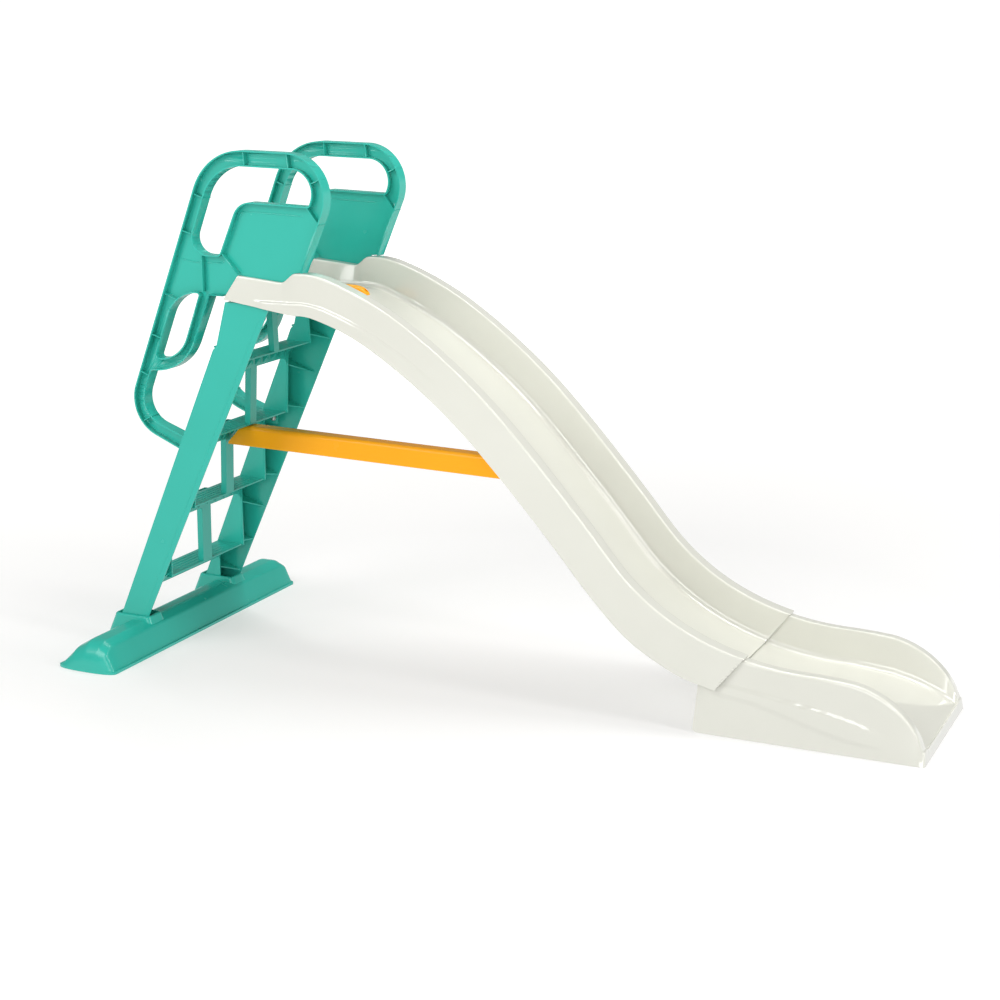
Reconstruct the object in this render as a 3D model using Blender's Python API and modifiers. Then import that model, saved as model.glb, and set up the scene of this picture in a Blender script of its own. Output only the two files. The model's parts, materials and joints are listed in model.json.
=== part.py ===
"""Toddler slide: an open triangle of ladder, slide and brace, bolted together.

Distances are in metres. X runs from the ladder's foot to the slide's exit, Y across, Z up.
Every piece is placed from the rear edge of the foot and hangs on one empty, which moves
the whole toy so that the middle of its length and width is the origin, with the ground at z = 0.
"""
import math

import bmesh
import bpy
from mathutils import Matrix, Vector

# ---------------------------------------------------------------- driving dimensions
LENGTH = 1.870          # foot's rear edge to the slide's exit lip
GAP = 0.0003            # clearance between touching pieces
PLASTIC = 0.003         # wall of the ladder, handrails, foot and brace
SHELL = 0.0035          # wall of the two slide sections

# Slide: the rim is a chain of arcs seen from the side, each (length, turn in degrees).
RIM_START = (0.512, 0.8685)
RIM_HEADING = 4.5
RIM_RUNS = ((0.0755, -22.4), (0.204, -15.3), (0.320, -13.4), (0.315, -3.8), (0.252, 29.9),
            (0.200, 19.8), (0.110, -4.7))
RIM_HALF_WIDTH = 0.175
HEM_HALF_WIDTH = 0.188
FLOOR_DEPTH = 0.070     # floor below the rim
HEM_DEPTHS = ((0.512, 0.086), (0.700, 0.0805), (1.250, 0.079), (1.340, 0.086), (1.430, 0.086),
              (1.506, 0.0795))      # skirt below the rim, at places along X
ENTRY_FLOOR = 0.804
SEAM_X = 1.506          # end of the upper section, at its rim
TOE_STEPS = 12          # stations along the curve down to the seam
SEAM_LEAN = 0.034       # how far the seam's lower end lies back from a square cut
CREST_END = 0.660       # the floor is a little higher over the crest, up to here
CREST_RISE = 0.0052

# Lower section: it starts under the upper one and comes down to the ground at the exit.
LOWER_REAR = 1.405
LOWER_GAP = 0.0008
EXIT_START = 1.700      # where the walls start their quarter oval down to the ground
EXIT_POWER = 1.85
LIP_HEIGHT = 0.020
LIP_REACH = 0.0008      # the lip's end face leans back, so its line starts this much beyond

# Ladder
TREAD_COUNT = 4
FIRST_TREAD = 0.164
RISE = 0.168
FIRST_FRONT = 0.149     # front edge of the lowest tread
RUN = 0.069
CLIMB_LINE = (0.0082, 0.4307)   # rear face of the rails: x = a + b z
FRONT_LINE = (0.0770, 0.4714)   # front edge of the rails
RAIL_OUTER = 0.1866     # half widths at TAPER_LEVEL, before the taper
RAIL_CHEEK = 0.1446
TAPER_LEVEL = 0.400
TAPER = 0.0971          # share of the width lost for each metre of height
RAIL_BOTTOM = 0.0125
LADDER_TOP = ENTRY_FLOOR - SHELL - GAP
BEAM = 0.040            # depth of the beam under each tread's rear edge
STRUT_HALF = 0.0175     # half width of the lowest strut, and what each higher one loses
STRUT_LESS = 0.0022
STRUT_DEPTH = 0.014
STEP_BACK = 0.0003      # how far one face of the moulding stands back from the next

# Handrails: I-section loops standing over the slide's rim
RAIL_PLANE = 0.166
FLANGE = 0.030
TAIL_SLOT = (0.4605, 0.4945)    # slot in the rail's rear face for the handrail's tail
TAIL_BOLT = (0.238, 0.476)
TAIL = ((0.2090, 0.4625), (0.2500, 0.4625), (0.2500, 0.4925), (0.2180, 0.4925))
TONGUE_BOLTS = ((0.388, 0.780), (0.416, 0.780))
# Outlines seen from the side: corners as (x, z, radius)
RAIL_LOOP = ((0.5321, 0.8702, 0), (0.6374, 1.1140, 0.091), (0.3083, 1.1208, 0.129),
             (0.0717, 0.5287, 0.0845), (0.2101, 0.4698, 0), (0.2225, 0.4987, 0),
             (0.1054, 0.5420, 0.060), (0.1452, 0.6405, 0.006), (0.2321, 0.6405, 0.112),
             (0.3050, 0.8125, 0), (0.3380, 0.8125, 0))
RAIL_TONGUE = ((0.3620, 0.8125, 0), (0.3620, 0.7650, 0), (0.4320, 0.7650, 0), (0.4450, 0.8000, 0),
               (0.4720, 0.8200, 0), (0.4800, 0.8460, 0), (0.4805, 0.8506, 0), (0.4840, 0.8510, 0),
               (0.4940, 0.8578, 0), (0.5030, 0.8652, 0), (0.5120, 0.8697, 0))
RAIL_OPENING = ((0.3254, 1.0880, 0.101), (0.5859, 1.0815, 0.0475), (0.5544, 1.0083, 0.006),
                (0.3844, 1.0138, 0.045), (0.3334, 0.8985, 0.012), (0.2511, 0.8985, 0.035))
RAIL_SLOT = ((0.2173, 0.8155, 0.080), (0.2790, 0.8155, 0.004), (0.2223, 0.6680, 0.077),
             (0.1580, 0.6680, 0.006))
RAIL_RIBS = (((0.288, 0.897), (0.287, 0.818)), ((0.339, 0.903), (0.378, 0.861)),
             ((0.549, 1.006), (0.578, 0.970)), ((0.186, 0.812), (0.222, 0.798)),
             ((0.275, 1.026), (0.301, 1.017)), ((0.241, 0.948), (0.266, 0.941)),
             ((0.401, 1.118), (0.402, 1.088)), ((0.505, 1.115), (0.508, 1.085)),
             ((0.584, 1.066), (0.558, 1.054)), ((0.150, 0.720), (0.177, 0.712)),
             ((0.116, 0.636), (0.140, 0.627)), ((0.118, 0.525), (0.142, 0.539)))

# Foot: a hollow bar across the ladder with a raised collar round each rail
FOOT_HALF = 0.388
FOOT_SECTION = ((0.000, 0.0, 0.0), (0.150, 0.0, 0.0), (0.150, 0.006, 0.0), (0.1445, 0.006, 0.0),
                (0.1275, 0.055, 0.010), (0.1070, 0.066, 0.012), (0.0740, 0.066, 0.020),
                (0.0400, 0.046, 0.012), (0.0055, 0.006, 0.0), (0.000, 0.006, 0.0))
FOOT_INSIDE = ((0.0095, -0.010, 0.0), (0.1410, -0.010, 0.0), (0.1238, 0.0525, 0.008),
               (0.1060, 0.063, 0.010), (0.0750, 0.063, 0.018), (0.0425, 0.0435, 0.010))
FOOT_MIDDLE = 0.075
NOSE_HEIGHT_RUN = 0.058         # length of the nose over which the height rounds off
NOSE_WIDTH_RUN = 0.018          # and the width
NOSE_POWER = 2.2
SOCKET_FLOOR = RAIL_BOTTOM - GAP
COLLAR_TOP = 0.0755
COLLAR_RINGS = ((SOCKET_FLOOR - PLASTIC, 0.0010, 0.1365, 0.1380, 0.2060),
                (0.0200, 0.0010, 0.1365, 0.1385, 0.2050),
                (COLLAR_TOP, 0.0220, 0.1185, 0.1425, 0.2005))   # z, x range, half-width range
COLLAR_CORNER = 0.013
FOOT_SCREW = (0.052, 0.1718)

# Brace: a channel open below, from under the third tread to the underside of the slide
BRACE_HALF = 0.0225
BRACE_TOP = (0.2800, 0.4950)
BRACE_SLOPE = -0.024
BRACE_HEIGHT = 0.045
BRACE_TIP = (0.2330, 0.4555)    # upper end of the short upright at its ladder end
BRACE_SHOULDER = 0.2690         # where its slanted end meets the top
BRACE_BOLT_X = 0.2770

# Fasteners
PILOT = 0.0021          # radius of a screw's hole in plastic that its thread grips
CLEAR_HOLE = 0.0024     # and in plastic that it passes through
BOLT_HOLE = 0.0035
WASHER_THICK = 0.0012
TOP_BOLT_X = 0.400      # slide floor to the ladder's top plate
TOP_BOLTS = (-0.090, 0.090)
SEAM_SCREW_X = 1.448
SEAM_SCREWS = (-0.080, 0.080)
BRACE_X = 1.067         # where the rim passes the brace's upper end
BRACE_BOSS = 0.010      # how far the slide's bosses for the brace stand below its floor
SEAM_BOSS = 0.0045
BRACE_SCREWS = (-0.012, 0.012)

# Water nozzle on the entry floor
NOZZLE = (0.545, 0.0, ENTRY_FLOOR)
NOZZLE_LENGTH = 0.095
NOZZLE_WIDTH = 0.040
NOZZLE_HEIGHT = 0.0205
NOZZLE_SHIFT = 0.0005   # its middle lies this far behind the swivel axis
SEAL = 0.0015
SPIGOT = 0.009
NOZZLE_BOSS = 0.0098    # the round seat under the floor, measured from the floor's top

# ---------------------------------------------------------------- scene and materials
for old in list(bpy.data.objects):
    bpy.data.objects.remove(old)

PARTS = bpy.data.collections.new("toddler_slide")
TOOLS = bpy.data.collections.new("cutters")
bpy.context.scene.collection.children.link(PARTS)
bpy.context.scene.collection.children.link(TOOLS)

FRAME = bpy.data.objects.new("slide_frame", None)
FRAME.location = (-LENGTH / 2, 0.0, 0.0)
PARTS.objects.link(FRAME)


def plastic(name, colour, roughness, metallic=0.0):
    """Principled material for one kind of piece."""
    made = bpy.data.materials.new(name)
    made.use_nodes = True
    shader = made.node_tree.nodes["Principled BSDF"]
    shader.inputs["Base Color"].default_value = (*colour, 1.0)
    shader.inputs["Roughness"].default_value = roughness
    shader.inputs["Metallic"].default_value = metallic
    return made


TEAL = plastic("teal_plastic", (0.055, 0.500, 0.400), 0.35)
OFF_WHITE = plastic("off_white_plastic", (0.730, 0.730, 0.660), 0.22)
YELLOW = plastic("yellow_plastic", (1.000, 0.450, 0.040), 0.30)
STEEL = plastic("zinc_steel", (0.620, 0.620, 0.600), 0.35, 1.0)
RUBBER = plastic("black_rubber", (0.020, 0.020, 0.020), 0.80)


# ---------------------------------------------------------------- helpers
def mesh_piece(name, mesh, collection=TOOLS):
    """Wrap a mesh as an object in a collection."""
    made = bpy.data.objects.new(name, mesh)
    collection.objects.link(made)
    return made


def from_bmesh(name, built, collection=TOOLS):
    """Turn a bmesh into an object with its faces pointing out."""
    bmesh.ops.recalc_face_normals(built, faces=built.faces)
    mesh = bpy.data.meshes.new(name)
    built.to_mesh(mesh)
    built.free()
    return mesh_piece(name, mesh, collection)


def box(low, high):
    """Axis-aligned box between two corners."""
    built = bmesh.new()
    size = [b - a for a, b in zip(low, high)]
    middle = [(a + b) / 2 for a, b in zip(low, high)]
    place = Matrix.Translation(middle) @ Matrix.Diagonal((*size, 1.0))
    bmesh.ops.create_cube(built, size=1.0, matrix=place)
    return from_bmesh("box", built)


def rod(start, direction, radius, length, sides=16, tip=None):
    """Cylinder, or a cone frustum when tip is given, from start along direction."""
    built = bmesh.new()
    axis = Vector(direction).normalized()
    turn = axis.to_track_quat("Z", "Y").to_matrix().to_4x4()
    place = Matrix.Translation(Vector(start) + axis * length / 2) @ turn
    bmesh.ops.create_cone(built, cap_ends=True, segments=sides, radius1=radius,
                          radius2=radius if tip is None else tip, depth=length, matrix=place)
    return from_bmesh("rod", built)


def slab(outline, y_low, y_high, openings=()):
    """Flat outline in the XZ plane, with any openings, given thickness along Y."""
    curve = bpy.data.curves.new("slab", "CURVE")
    curve.dimensions = "2D"
    curve.fill_mode = "BOTH"
    curve.extrude = (y_high - y_low) / 2
    for line in (outline, *openings):
        spline = curve.splines.new("POLY")
        spline.points.add(len(line) - 1)
        for point, (x, z) in zip(spline.points, line):
            point.co = (x, z, 0.0, 1.0)
        spline.use_cyclic_u = True
    flat = bpy.data.objects.new("slab", curve)
    TOOLS.objects.link(flat)
    flat.rotation_euler = (math.pi / 2, 0.0, 0.0)
    flat.location = (0.0, (y_low + y_high) / 2, 0.0)
    return to_mesh(flat)


def to_mesh(source):
    """Replace a curve or modified object by its evaluated, welded mesh in world space."""
    bpy.context.view_layer.update()
    seen = source.evaluated_get(bpy.context.evaluated_depsgraph_get())
    mesh = bpy.data.meshes.new_from_object(seen)
    mesh.transform(source.matrix_world)
    name = source.name
    bpy.data.objects.remove(source)
    built = bmesh.new()
    built.from_mesh(mesh)
    bmesh.ops.remove_doubles(built, verts=built.verts, dist=0.00001)
    bmesh.ops.dissolve_degenerate(built, edges=built.edges, dist=0.00001)
    return from_bmesh(name, built)


def combine(target, tools, operation):
    """Join tools to the target, or cut them from it, in one exact Boolean."""
    group = bpy.data.collections.new("operands")
    bpy.context.scene.collection.children.link(group)
    for tool in tools:
        group.objects.link(tool)
    change = target.modifiers.new(operation.lower(), "BOOLEAN")
    change.operation = operation
    change.operand_type = "COLLECTION"
    change.collection = group
    change.solver = "EXACT"
    result = to_mesh(target)
    for tool in tools:
        bpy.data.objects.remove(tool)
    bpy.data.collections.remove(group)
    return result


def join(target, *tools):
    return combine(target, list(tools), "UNION")


def cut(target, *tools):
    return combine(target, list(tools), "DIFFERENCE")


def finish(source, name, material, origin=(0.0, 0.0, 0.0), sharp=40.0):
    """Name a finished piece, give it its material and hang it on the frame."""
    mesh = source.data
    mesh.transform(Matrix.Translation(-Vector(origin)))
    mesh.materials.clear()
    mesh.materials.append(material)
    mesh.shade_smooth()
    mesh.set_sharp_from_angle(angle=math.radians(sharp))
    for home in list(source.users_collection):
        home.objects.unlink(source)
    PARTS.objects.link(source)
    source.name = name
    mesh.name = name
    source.parent = FRAME
    source.location = origin
    return source


def loft(rings, capped):
    """Skin through rings of points; closed rings with capped ends make a solid."""
    built = bmesh.new()
    rows = [[built.verts.new(point) for point in ring] for ring in rings]
    count = len(rings[0])
    across = count if capped else count - 1
    for first, second in zip(rows, rows[1:]):
        for i in range(across):
            j = (i + 1) % count
            built.faces.new((first[i], first[j], second[j], second[i]))
    if capped:
        built.faces.new(rows[0])
        built.faces.new(reversed(rows[-1]))
    return built


def rounded(corners, steps=4):
    """Outline through corners (x, z, radius), each corner turned into an arc."""
    points = []
    count = len(corners)
    for i, (x, z, radius) in enumerate(corners):
        here = Vector((x, z))
        if radius == 0:
            points.append((x, z))
            continue
        before = (Vector(corners[i - 1][:2]) - here).normalized()
        after = (Vector(corners[(i + 1) % count][:2]) - here).normalized()
        half = before.angle(after) / 2
        reach = radius / math.tan(half)
        centre = here + (before + after).normalized() * radius / math.sin(half)
        first = here + before * reach - centre
        last = here + after * reach - centre
        turn = first.angle_signed(last)
        for k in range(steps + 1):
            step = Matrix.Rotation(-turn * k / steps, 2) @ first
            points.append(tuple(centre + step))
    return points


def inset(outline, distance):
    """Outline moved inwards by a distance; a negative one moves it outwards."""
    area = sum(a[0] * b[1] - b[0] * a[1] for a, b in zip(outline, outline[1:] + outline[:1]))
    side = 1.0 if area > 0 else -1.0
    moved = []
    count = len(outline)
    for i, here in enumerate(outline):
        a = (Vector(here) - Vector(outline[i - 1])).normalized()
        b = (Vector(outline[(i + 1) % count]) - Vector(here)).normalized()
        normal = Vector((-a.y - b.y, a.x + b.x)) * side
        normal.normalize()
        share = max(0.5, normal.dot(Vector((-a.y, a.x)) * side))
        moved.append(tuple(Vector(here) + normal * distance / share))
    return moved


def between(a, b, share):
    return a + (b - a) * share


# ---------------------------------------------------------------- slide
def rim_point(distance):
    """Point and heading on the rim chain, seen from the side."""
    x, z = RIM_START
    heading = math.radians(RIM_HEADING)
    for length, turn in RIM_RUNS:
        run = min(distance, length)
        turned = math.radians(turn) * run / length
        chord = run * (1 - turned * turned / 24)
        x += chord * math.cos(heading + turned / 2)
        z += chord * math.sin(heading + turned / 2)
        heading += turned
        distance -= run
        if distance <= 0:
            break
    return Vector((x, z)), heading


def rim_distance(x):
    """Length along the rim chain at which it passes a given x."""
    low, high = 0.0, sum(length for length, _ in RIM_RUNS)
    for _ in range(40):
        middle = (low + high) / 2
        if rim_point(middle)[0].x < x:
            low = middle
        else:
            high = middle
    return low


def hem_depth(x):
    """Skirt depth below the rim, read between the stated places."""
    for (x0, depth0), (x1, depth1) in zip(HEM_DEPTHS, HEM_DEPTHS[1:]):
        if x <= x1:
            share = max(0.0, (x - x0) / (x1 - x0))
            return between(depth0, depth1, share * share * (3 - 2 * share))
    return HEM_DEPTHS[-1][1]


def below_rim(x, depth, lean=0.0):
    """Point at a depth square to the rim, taken a little further back along it."""
    point, heading = rim_point(rim_distance(x) - lean)
    return point + Vector((math.sin(heading), -math.cos(heading))) * depth


def floor_depth(x):
    """Floor below the rim: a little less over the crest, where it meets the level entry."""
    share = min(1.0, max(0.0, (CREST_END - x) / (CREST_END - RIM_START[0])))
    return FLOOR_DEPTH - CREST_RISE * share * share * (3 - 2 * share)


def run_station(x, drop=0.0):
    """Rim, floor and hem points where the rim passes x, all moved down by drop."""
    lean = SEAM_LEAN * min(1.0, max(0.0, (x - 1.20) / (SEAM_X - 1.20)))
    floor = below_rim(x, floor_depth(x) + drop, lean * 0.85)
    floor.y = min(floor.y, ENTRY_FLOOR)
    return below_rim(x, drop), floor, below_rim(x, hem_depth(x), lean)


def entry_stations():
    """Level entry with the low shelf on which the handrails stand, then the step up."""
    rims = [(0.3735, 0.8580), (0.410, 0.8547), (0.445, 0.8515), (0.472, 0.8490),
            (0.484, 0.8500), (0.494, 0.8568), (0.503, 0.8642)]
    hem_start, hem_end = Vector((0.3436, 0.8070)), Vector((0.505, 0.7838))
    first, last = rims[0][0], rims[-1][0]
    stations = []
    for x, z in rims:
        share = (x - first) / (last - first)
        floor = Vector((between(0.347, 0.504, share), ENTRY_FLOOR))
        stations.append((Vector((x, z)), floor, hem_start.lerp(hem_end, share)))
    return stations


def half_section(shift=0.0):
    """Half of the shell's outer line: (half width, share to the floor, share to the hem).

    A shift narrows the raised rim by that much on both sides, for the section underneath.
    """
    floor = [(0.0, 1.0), (0.050, 1.0), (0.095, 1.0), (0.115, 0.985)]
    wall = [(0.1265, 0.920), (0.1315, 0.800), (0.1365, 0.400), (0.1405, 0.100), (0.1415, 0.030)]
    rows = [(y, share, None) for y, share in floor]
    rows += [(y + shift, share, None) for y, share in wall]
    rows += [(0.1445 + shift, 0.0, None), (0.1590, 0.0, None), (0.1710 - shift, 0.0, None)]
    skirt = [(0.1742, 0.012), (RIM_HALF_WIDTH + 0.0007, 0.050), (0.1777, 0.180), (0.1827, 0.580)]
    rows += [(y - shift, None, share) for y, share in skirt]
    rows.append((HEM_HALF_WIDTH - shift, None, 1.0))
    return rows


def section(station, shift=0.0):
    """Full row of shell points across the slide at one station."""
    rim, floor, hem = station
    rows = []
    for y, to_floor, to_hem in half_section(shift):
        point = rim.lerp(hem, to_hem) if to_floor is None else rim.lerp(floor, to_floor)
        rows.append((point.x, y, point.y))
    mirrored = [(x, -y, z) for x, y, z in reversed(rows[1:])]
    return mirrored + rows


def shell(stations, shift=0.0):
    """Open surface through the stations, thickened inwards."""
    built = loft([section(station, shift) for station in stations], capped=False)
    surface = from_bmesh("shell", built)
    middle = min(surface.data.polygons, key=lambda face: abs(face.center.y))
    if middle.normal.z < 0:
        surface.data.flip_normals()
    wall = surface.modifiers.new("wall", "SOLIDIFY")
    wall.thickness = SHELL
    wall.offset = -1.0
    wall.use_even_offset = True
    return to_mesh(surface)


def spread(start, end, steps):
    return [between(start, end, i / steps) for i in range(steps + 1)]


def floor_frame(x):
    """Point on the floor's underside where the rim passes x, and the floor's upward normal."""
    _, heading = rim_point(rim_distance(x))
    normal = Vector((-math.sin(heading), 0.0, math.cos(heading)))
    point = below_rim(x, FLOOR_DEPTH + SHELL)
    return Vector((point.x, 0.0, point.y)), normal


def on_floor(x, y, height):
    """Point a height above the floor's underside, square to it."""
    point, normal = floor_frame(x)
    return point + Vector((0.0, y, 0.0)) + normal * height


def slide_upper():
    """Upper section: handrail slots, nozzle hole, bolt holes and screw bosses underneath."""
    stations = entry_stations()
    crest = spread(0.512, 0.640, 6) + spread(0.670, 0.850, 5) + spread(0.910, 1.140, 4)
    toe = spread(1.170, SEAM_X, TOE_STEPS)
    stations += [run_station(x) for x in crest + toe]
    body = shell(stations)
    brace_up = floor_frame(BRACE_X)[1]
    seam_up = floor_frame(SEAM_SCREW_X)[1]
    bosses = [rod(on_floor(BRACE_X, y, 0.001), -brace_up, 0.006, BRACE_BOSS + 0.001)
              for y in BRACE_SCREWS]
    bosses += [rod(on_floor(SEAM_SCREW_X, y, 0.001), -seam_up, 0.006, SEAM_BOSS + 0.001)
               for y in SEAM_SCREWS]
    bosses.append(rod((NOZZLE[0], 0, ENTRY_FLOOR - 0.001), (0, 0, -1), 0.017,
                      NOZZLE_BOSS - 0.001, 24))
    body = join(body, *bosses)
    slots = [box((0.330, side * RAIL_PLANE - 0.0021, 0.8120),
                 (0.4815, side * RAIL_PLANE + 0.0021, 0.9000)) for side in (-1, 1)]
    holes = [rod((TOP_BOLT_X, y, ENTRY_FLOOR - 0.02), (0, 0, 1), BOLT_HOLE, 0.04)
             for y in TOP_BOLTS]
    holes.append(rod((NOZZLE[0], 0, ENTRY_FLOOR - 0.02), (0, 0, 1), SPIGOT + 0.0005, 0.04, 24))
    holes += [rod(on_floor(BRACE_X, y, -0.011), brace_up, PILOT, 0.012) for y in BRACE_SCREWS]
    holes += [rod(on_floor(SEAM_SCREW_X, y, -0.006), seam_up, PILOT, 0.007)
              for y in SEAM_SCREWS]
    body = cut(body, *slots, *holes)
    return finish(body, "slide_upper", OFF_WHITE)


def exit_floor(x, rim_height):
    """Floor height near the exit: level with the run, then bending down to the lip."""
    level = rim_height - FLOOR_DEPTH - 0.002
    if x <= EXIT_START:
        return level
    share = min(1.0, (x - EXIT_START) / (LENGTH - 0.008 - EXIT_START))
    return between(level, LIP_HEIGHT, share ** 1.7)


def lower_stations():
    """Tucked end under the upper section, level run-out, and the oval down to the exit lip."""
    drop = SHELL + LOWER_GAP
    below = -0.006
    stations = []
    toe = [x for x in spread(1.170, SEAM_X, TOE_STEPS) if x > LOWER_REAR + 0.015]
    for x in toe + spread(1.530, 1.680, 5):
        rim, floor, _ = run_station(x, drop)
        hem_x = between(LOWER_REAR, EXIT_START, (x - toe[0]) / (EXIT_START - toe[0]))
        stations.append((rim, floor, Vector((hem_x, below))))
    top = rim_point(rim_distance(EXIT_START))[0].y - drop
    reach = LENGTH - 0.003 - EXIT_START
    for k in range(9):
        turn = math.radians(88.0 * k / 8)
        x = EXIT_START + reach * math.sin(turn) ** (2 / EXIT_POWER)
        z = top * math.cos(turn) ** (2 / EXIT_POWER)
        floor = exit_floor(x, top)
        stations.append((Vector((x, max(z, floor + 0.002))), Vector((x, floor)), Vector((x, below))))
    front = Vector((LENGTH + LIP_REACH, below))
    stations.append((front, front.copy(), front.copy()))
    return stations


def slide_lower():
    """Lower section: flares to the ground, and its floor has clearance for the seam bosses."""
    body = shell(lower_stations(), SHELL + LOWER_GAP)
    up = floor_frame(SEAM_SCREW_X)[1]
    holes = [rod(on_floor(SEAM_SCREW_X, y, -0.02), up, 0.0066, 0.03) for y in SEAM_SCREWS]
    body = cut(body, box((1.3, -0.3, -0.1), (2.0, 0.3, 0.0)), *holes)
    return finish(body, "slide_lower", OFF_WHITE)


# ---------------------------------------------------------------- ladder
def climb_x(z):
    return CLIMB_LINE[0] + CLIMB_LINE[1] * z


def front_x(z):
    return FRONT_LINE[0] + FRONT_LINE[1] * z


def tread_level(n):
    return FIRST_TREAD + RISE * n


def tread_front(n):
    return FIRST_FRONT + RUN * n


def rail_outline():
    """Side panel between the climbing face and the front edge, straighter near the top."""
    bend = 0.6957
    rear = [(climb_x(RAIL_BOTTOM), RAIL_BOTTOM), (climb_x(bend), bend), (0.3168, 0.7040),
            (0.3422, LADDER_TOP)]
    return rear + [(front_x(LADDER_TOP), LADDER_TOP), (front_x(RAIL_BOTTOM), RAIL_BOTTOM)]


def stair_line():
    """Zigzag through the treads and the leaning riser planes, from the foot to the top."""
    points = [(climb_x(FIRST_TREAD), RAIL_BOTTOM)]
    for n in range(TREAD_COUNT):
        points += [(climb_x(tread_level(n)), tread_level(n)), (tread_front(n), tread_level(n))]
    return points + [(0.3500, LADDER_TOP)]


def cheek_outline():
    """Sawtooth wall closing each step at its side, between the climbing face and the zigzag."""
    proud = PLASTIC + STEP_BACK
    zigzag = [(x + proud, z - proud) for x, z in stair_line()[1:-1]]
    foot = (stair_line()[0][0] + proud, RAIL_BOTTOM)
    top = LADDER_TOP - STEP_BACK
    crown = [(rail_outline()[3][0], top), (stair_line()[-1][0] + proud, top)]
    return rail_outline()[:3] + crown + zigzag[::-1] + [foot]


def rear_strip():
    """Rail face towards the climber, one wall thick and set back a little from the side panel."""
    ends = (STEP_BACK, 0.0, 0.0, -STEP_BACK)
    rear = [(x + STEP_BACK, z + end) for (x, z), end in zip(rail_outline(), ends)]
    return rear + [(x + PLASTIC, z) for x, z in rear[::-1]]


def riser_slab(n, half):
    """Leaning riser above a tread, or a strut's web, as a slab across the ladder."""
    x, z = tread_front(n), tread_level(n)
    top = stair_line()[2 * n + 3]
    low, high = z - PLASTIC + STEP_BACK, top[1] - STEP_BACK
    return slab([(x - PLASTIC, low), (x, low), (top[0] + 0.001, high), (top[0] - PLASTIC, high)],
                -half, half)


def strut(n):
    """Upright between two treads: a channel whose open side faces the slide."""
    half = STRUT_HALF - STRUT_LESS * n
    x, z = tread_front(n), tread_level(n)
    top = stair_line()[2 * n + 3]
    pieces = [slab([(x - STRUT_DEPTH, z - 0.001), (x - STRUT_DEPTH + 0.0025, z - 0.001),
                    (top[0] - STRUT_DEPTH + 0.0025, top[1] - 0.001),
                    (top[0] - STRUT_DEPTH, top[1] - 0.001)], -half, half)]
    for side in (-1, 1):
        low, high = sorted((side * half, side * (half - 0.0025)))
        pieces.append(slab([(x - STRUT_DEPTH, z - 0.001), (x, z - 0.001), (top[0], top[1] - 0.001),
                            (top[0] - STRUT_DEPTH, top[1] - 0.001)], low, high))
    return pieces


def window(n, side):
    """Cutter for the opening in a riser beside its strut, with rounded upper corners."""
    low = tread_level(n) + 0.0002
    high = min(tread_level(n + 1), LADDER_TOP + 0.012) - BEAM
    inner = side * (STRUT_HALF - STRUT_LESS * n - 0.0001)
    outer = side * (RAIL_CHEEK - 0.0005)
    corners = [(inner, low, 0), (outer, low, 0), (outer, high, 0.020), (inner, high, 0)]
    flat = slab(rounded(corners), -0.05, 0.05)
    flat.data.transform(Matrix.Rotation(math.pi / 2, 4, "Z"))
    middle = (stair_line()[2 * n + 3][0] + stair_line()[2 * n + 2][0]) / 2
    flat.data.transform(Matrix.Translation((middle, 0.0, 0.0)))
    return flat


def untaper(z):
    """Factor from a finished half width at a level to the half width before the taper."""
    return 1.0 / (1.0 - TAPER * (z - TAPER_LEVEL))


def brace_top(x):
    return BRACE_TOP[1] + BRACE_SLOPE * (x - BRACE_TOP[0])


def taper(source):
    """Narrow a piece towards the top, as the rails lean in."""
    for vertex in source.data.vertices:
        vertex.co.y *= 1.0 - TAPER * (vertex.co.z - TAPER_LEVEL)
    return source


def cheek_front(z):
    """Front edge of the sawtooth cheek at a level."""
    n = math.floor((z - FIRST_TREAD) / RISE)
    if n < 0:
        return climb_x(FIRST_TREAD)
    return between(tread_front(n), climb_x(tread_level(n + 1)), (z - tread_level(n)) / RISE)


def channel_ribs(side):
    """Sloping ribs across a rail's channel, from its panel's front edge back to the cheek's."""
    ribs = []
    thick, slope = 0.0025, 0.40
    for k in range(8):
        low = 0.0835 + 0.084 * k
        outer = front_x(low) - 0.0015
        rear = climb_x(low + 0.026) + 0.0015
        inner = min(outer, cheek_front(low + slope * (outer - rear) / 2) - 0.004)
        rings = []
        for y, front in ((RAIL_CHEEK + 0.0002, inner), (RAIL_OUTER - 0.0002, outer)):
            line = [(x, low + slope * (outer - x)) for x in (rear, front)]
            line += [(x, z - thick) for x, z in line[::-1]]
            rings.append([(x, side * y, z) for x, z in line])
        ribs.append(from_bmesh("rib", loft(rings, capped=True)))
    return ribs


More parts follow.
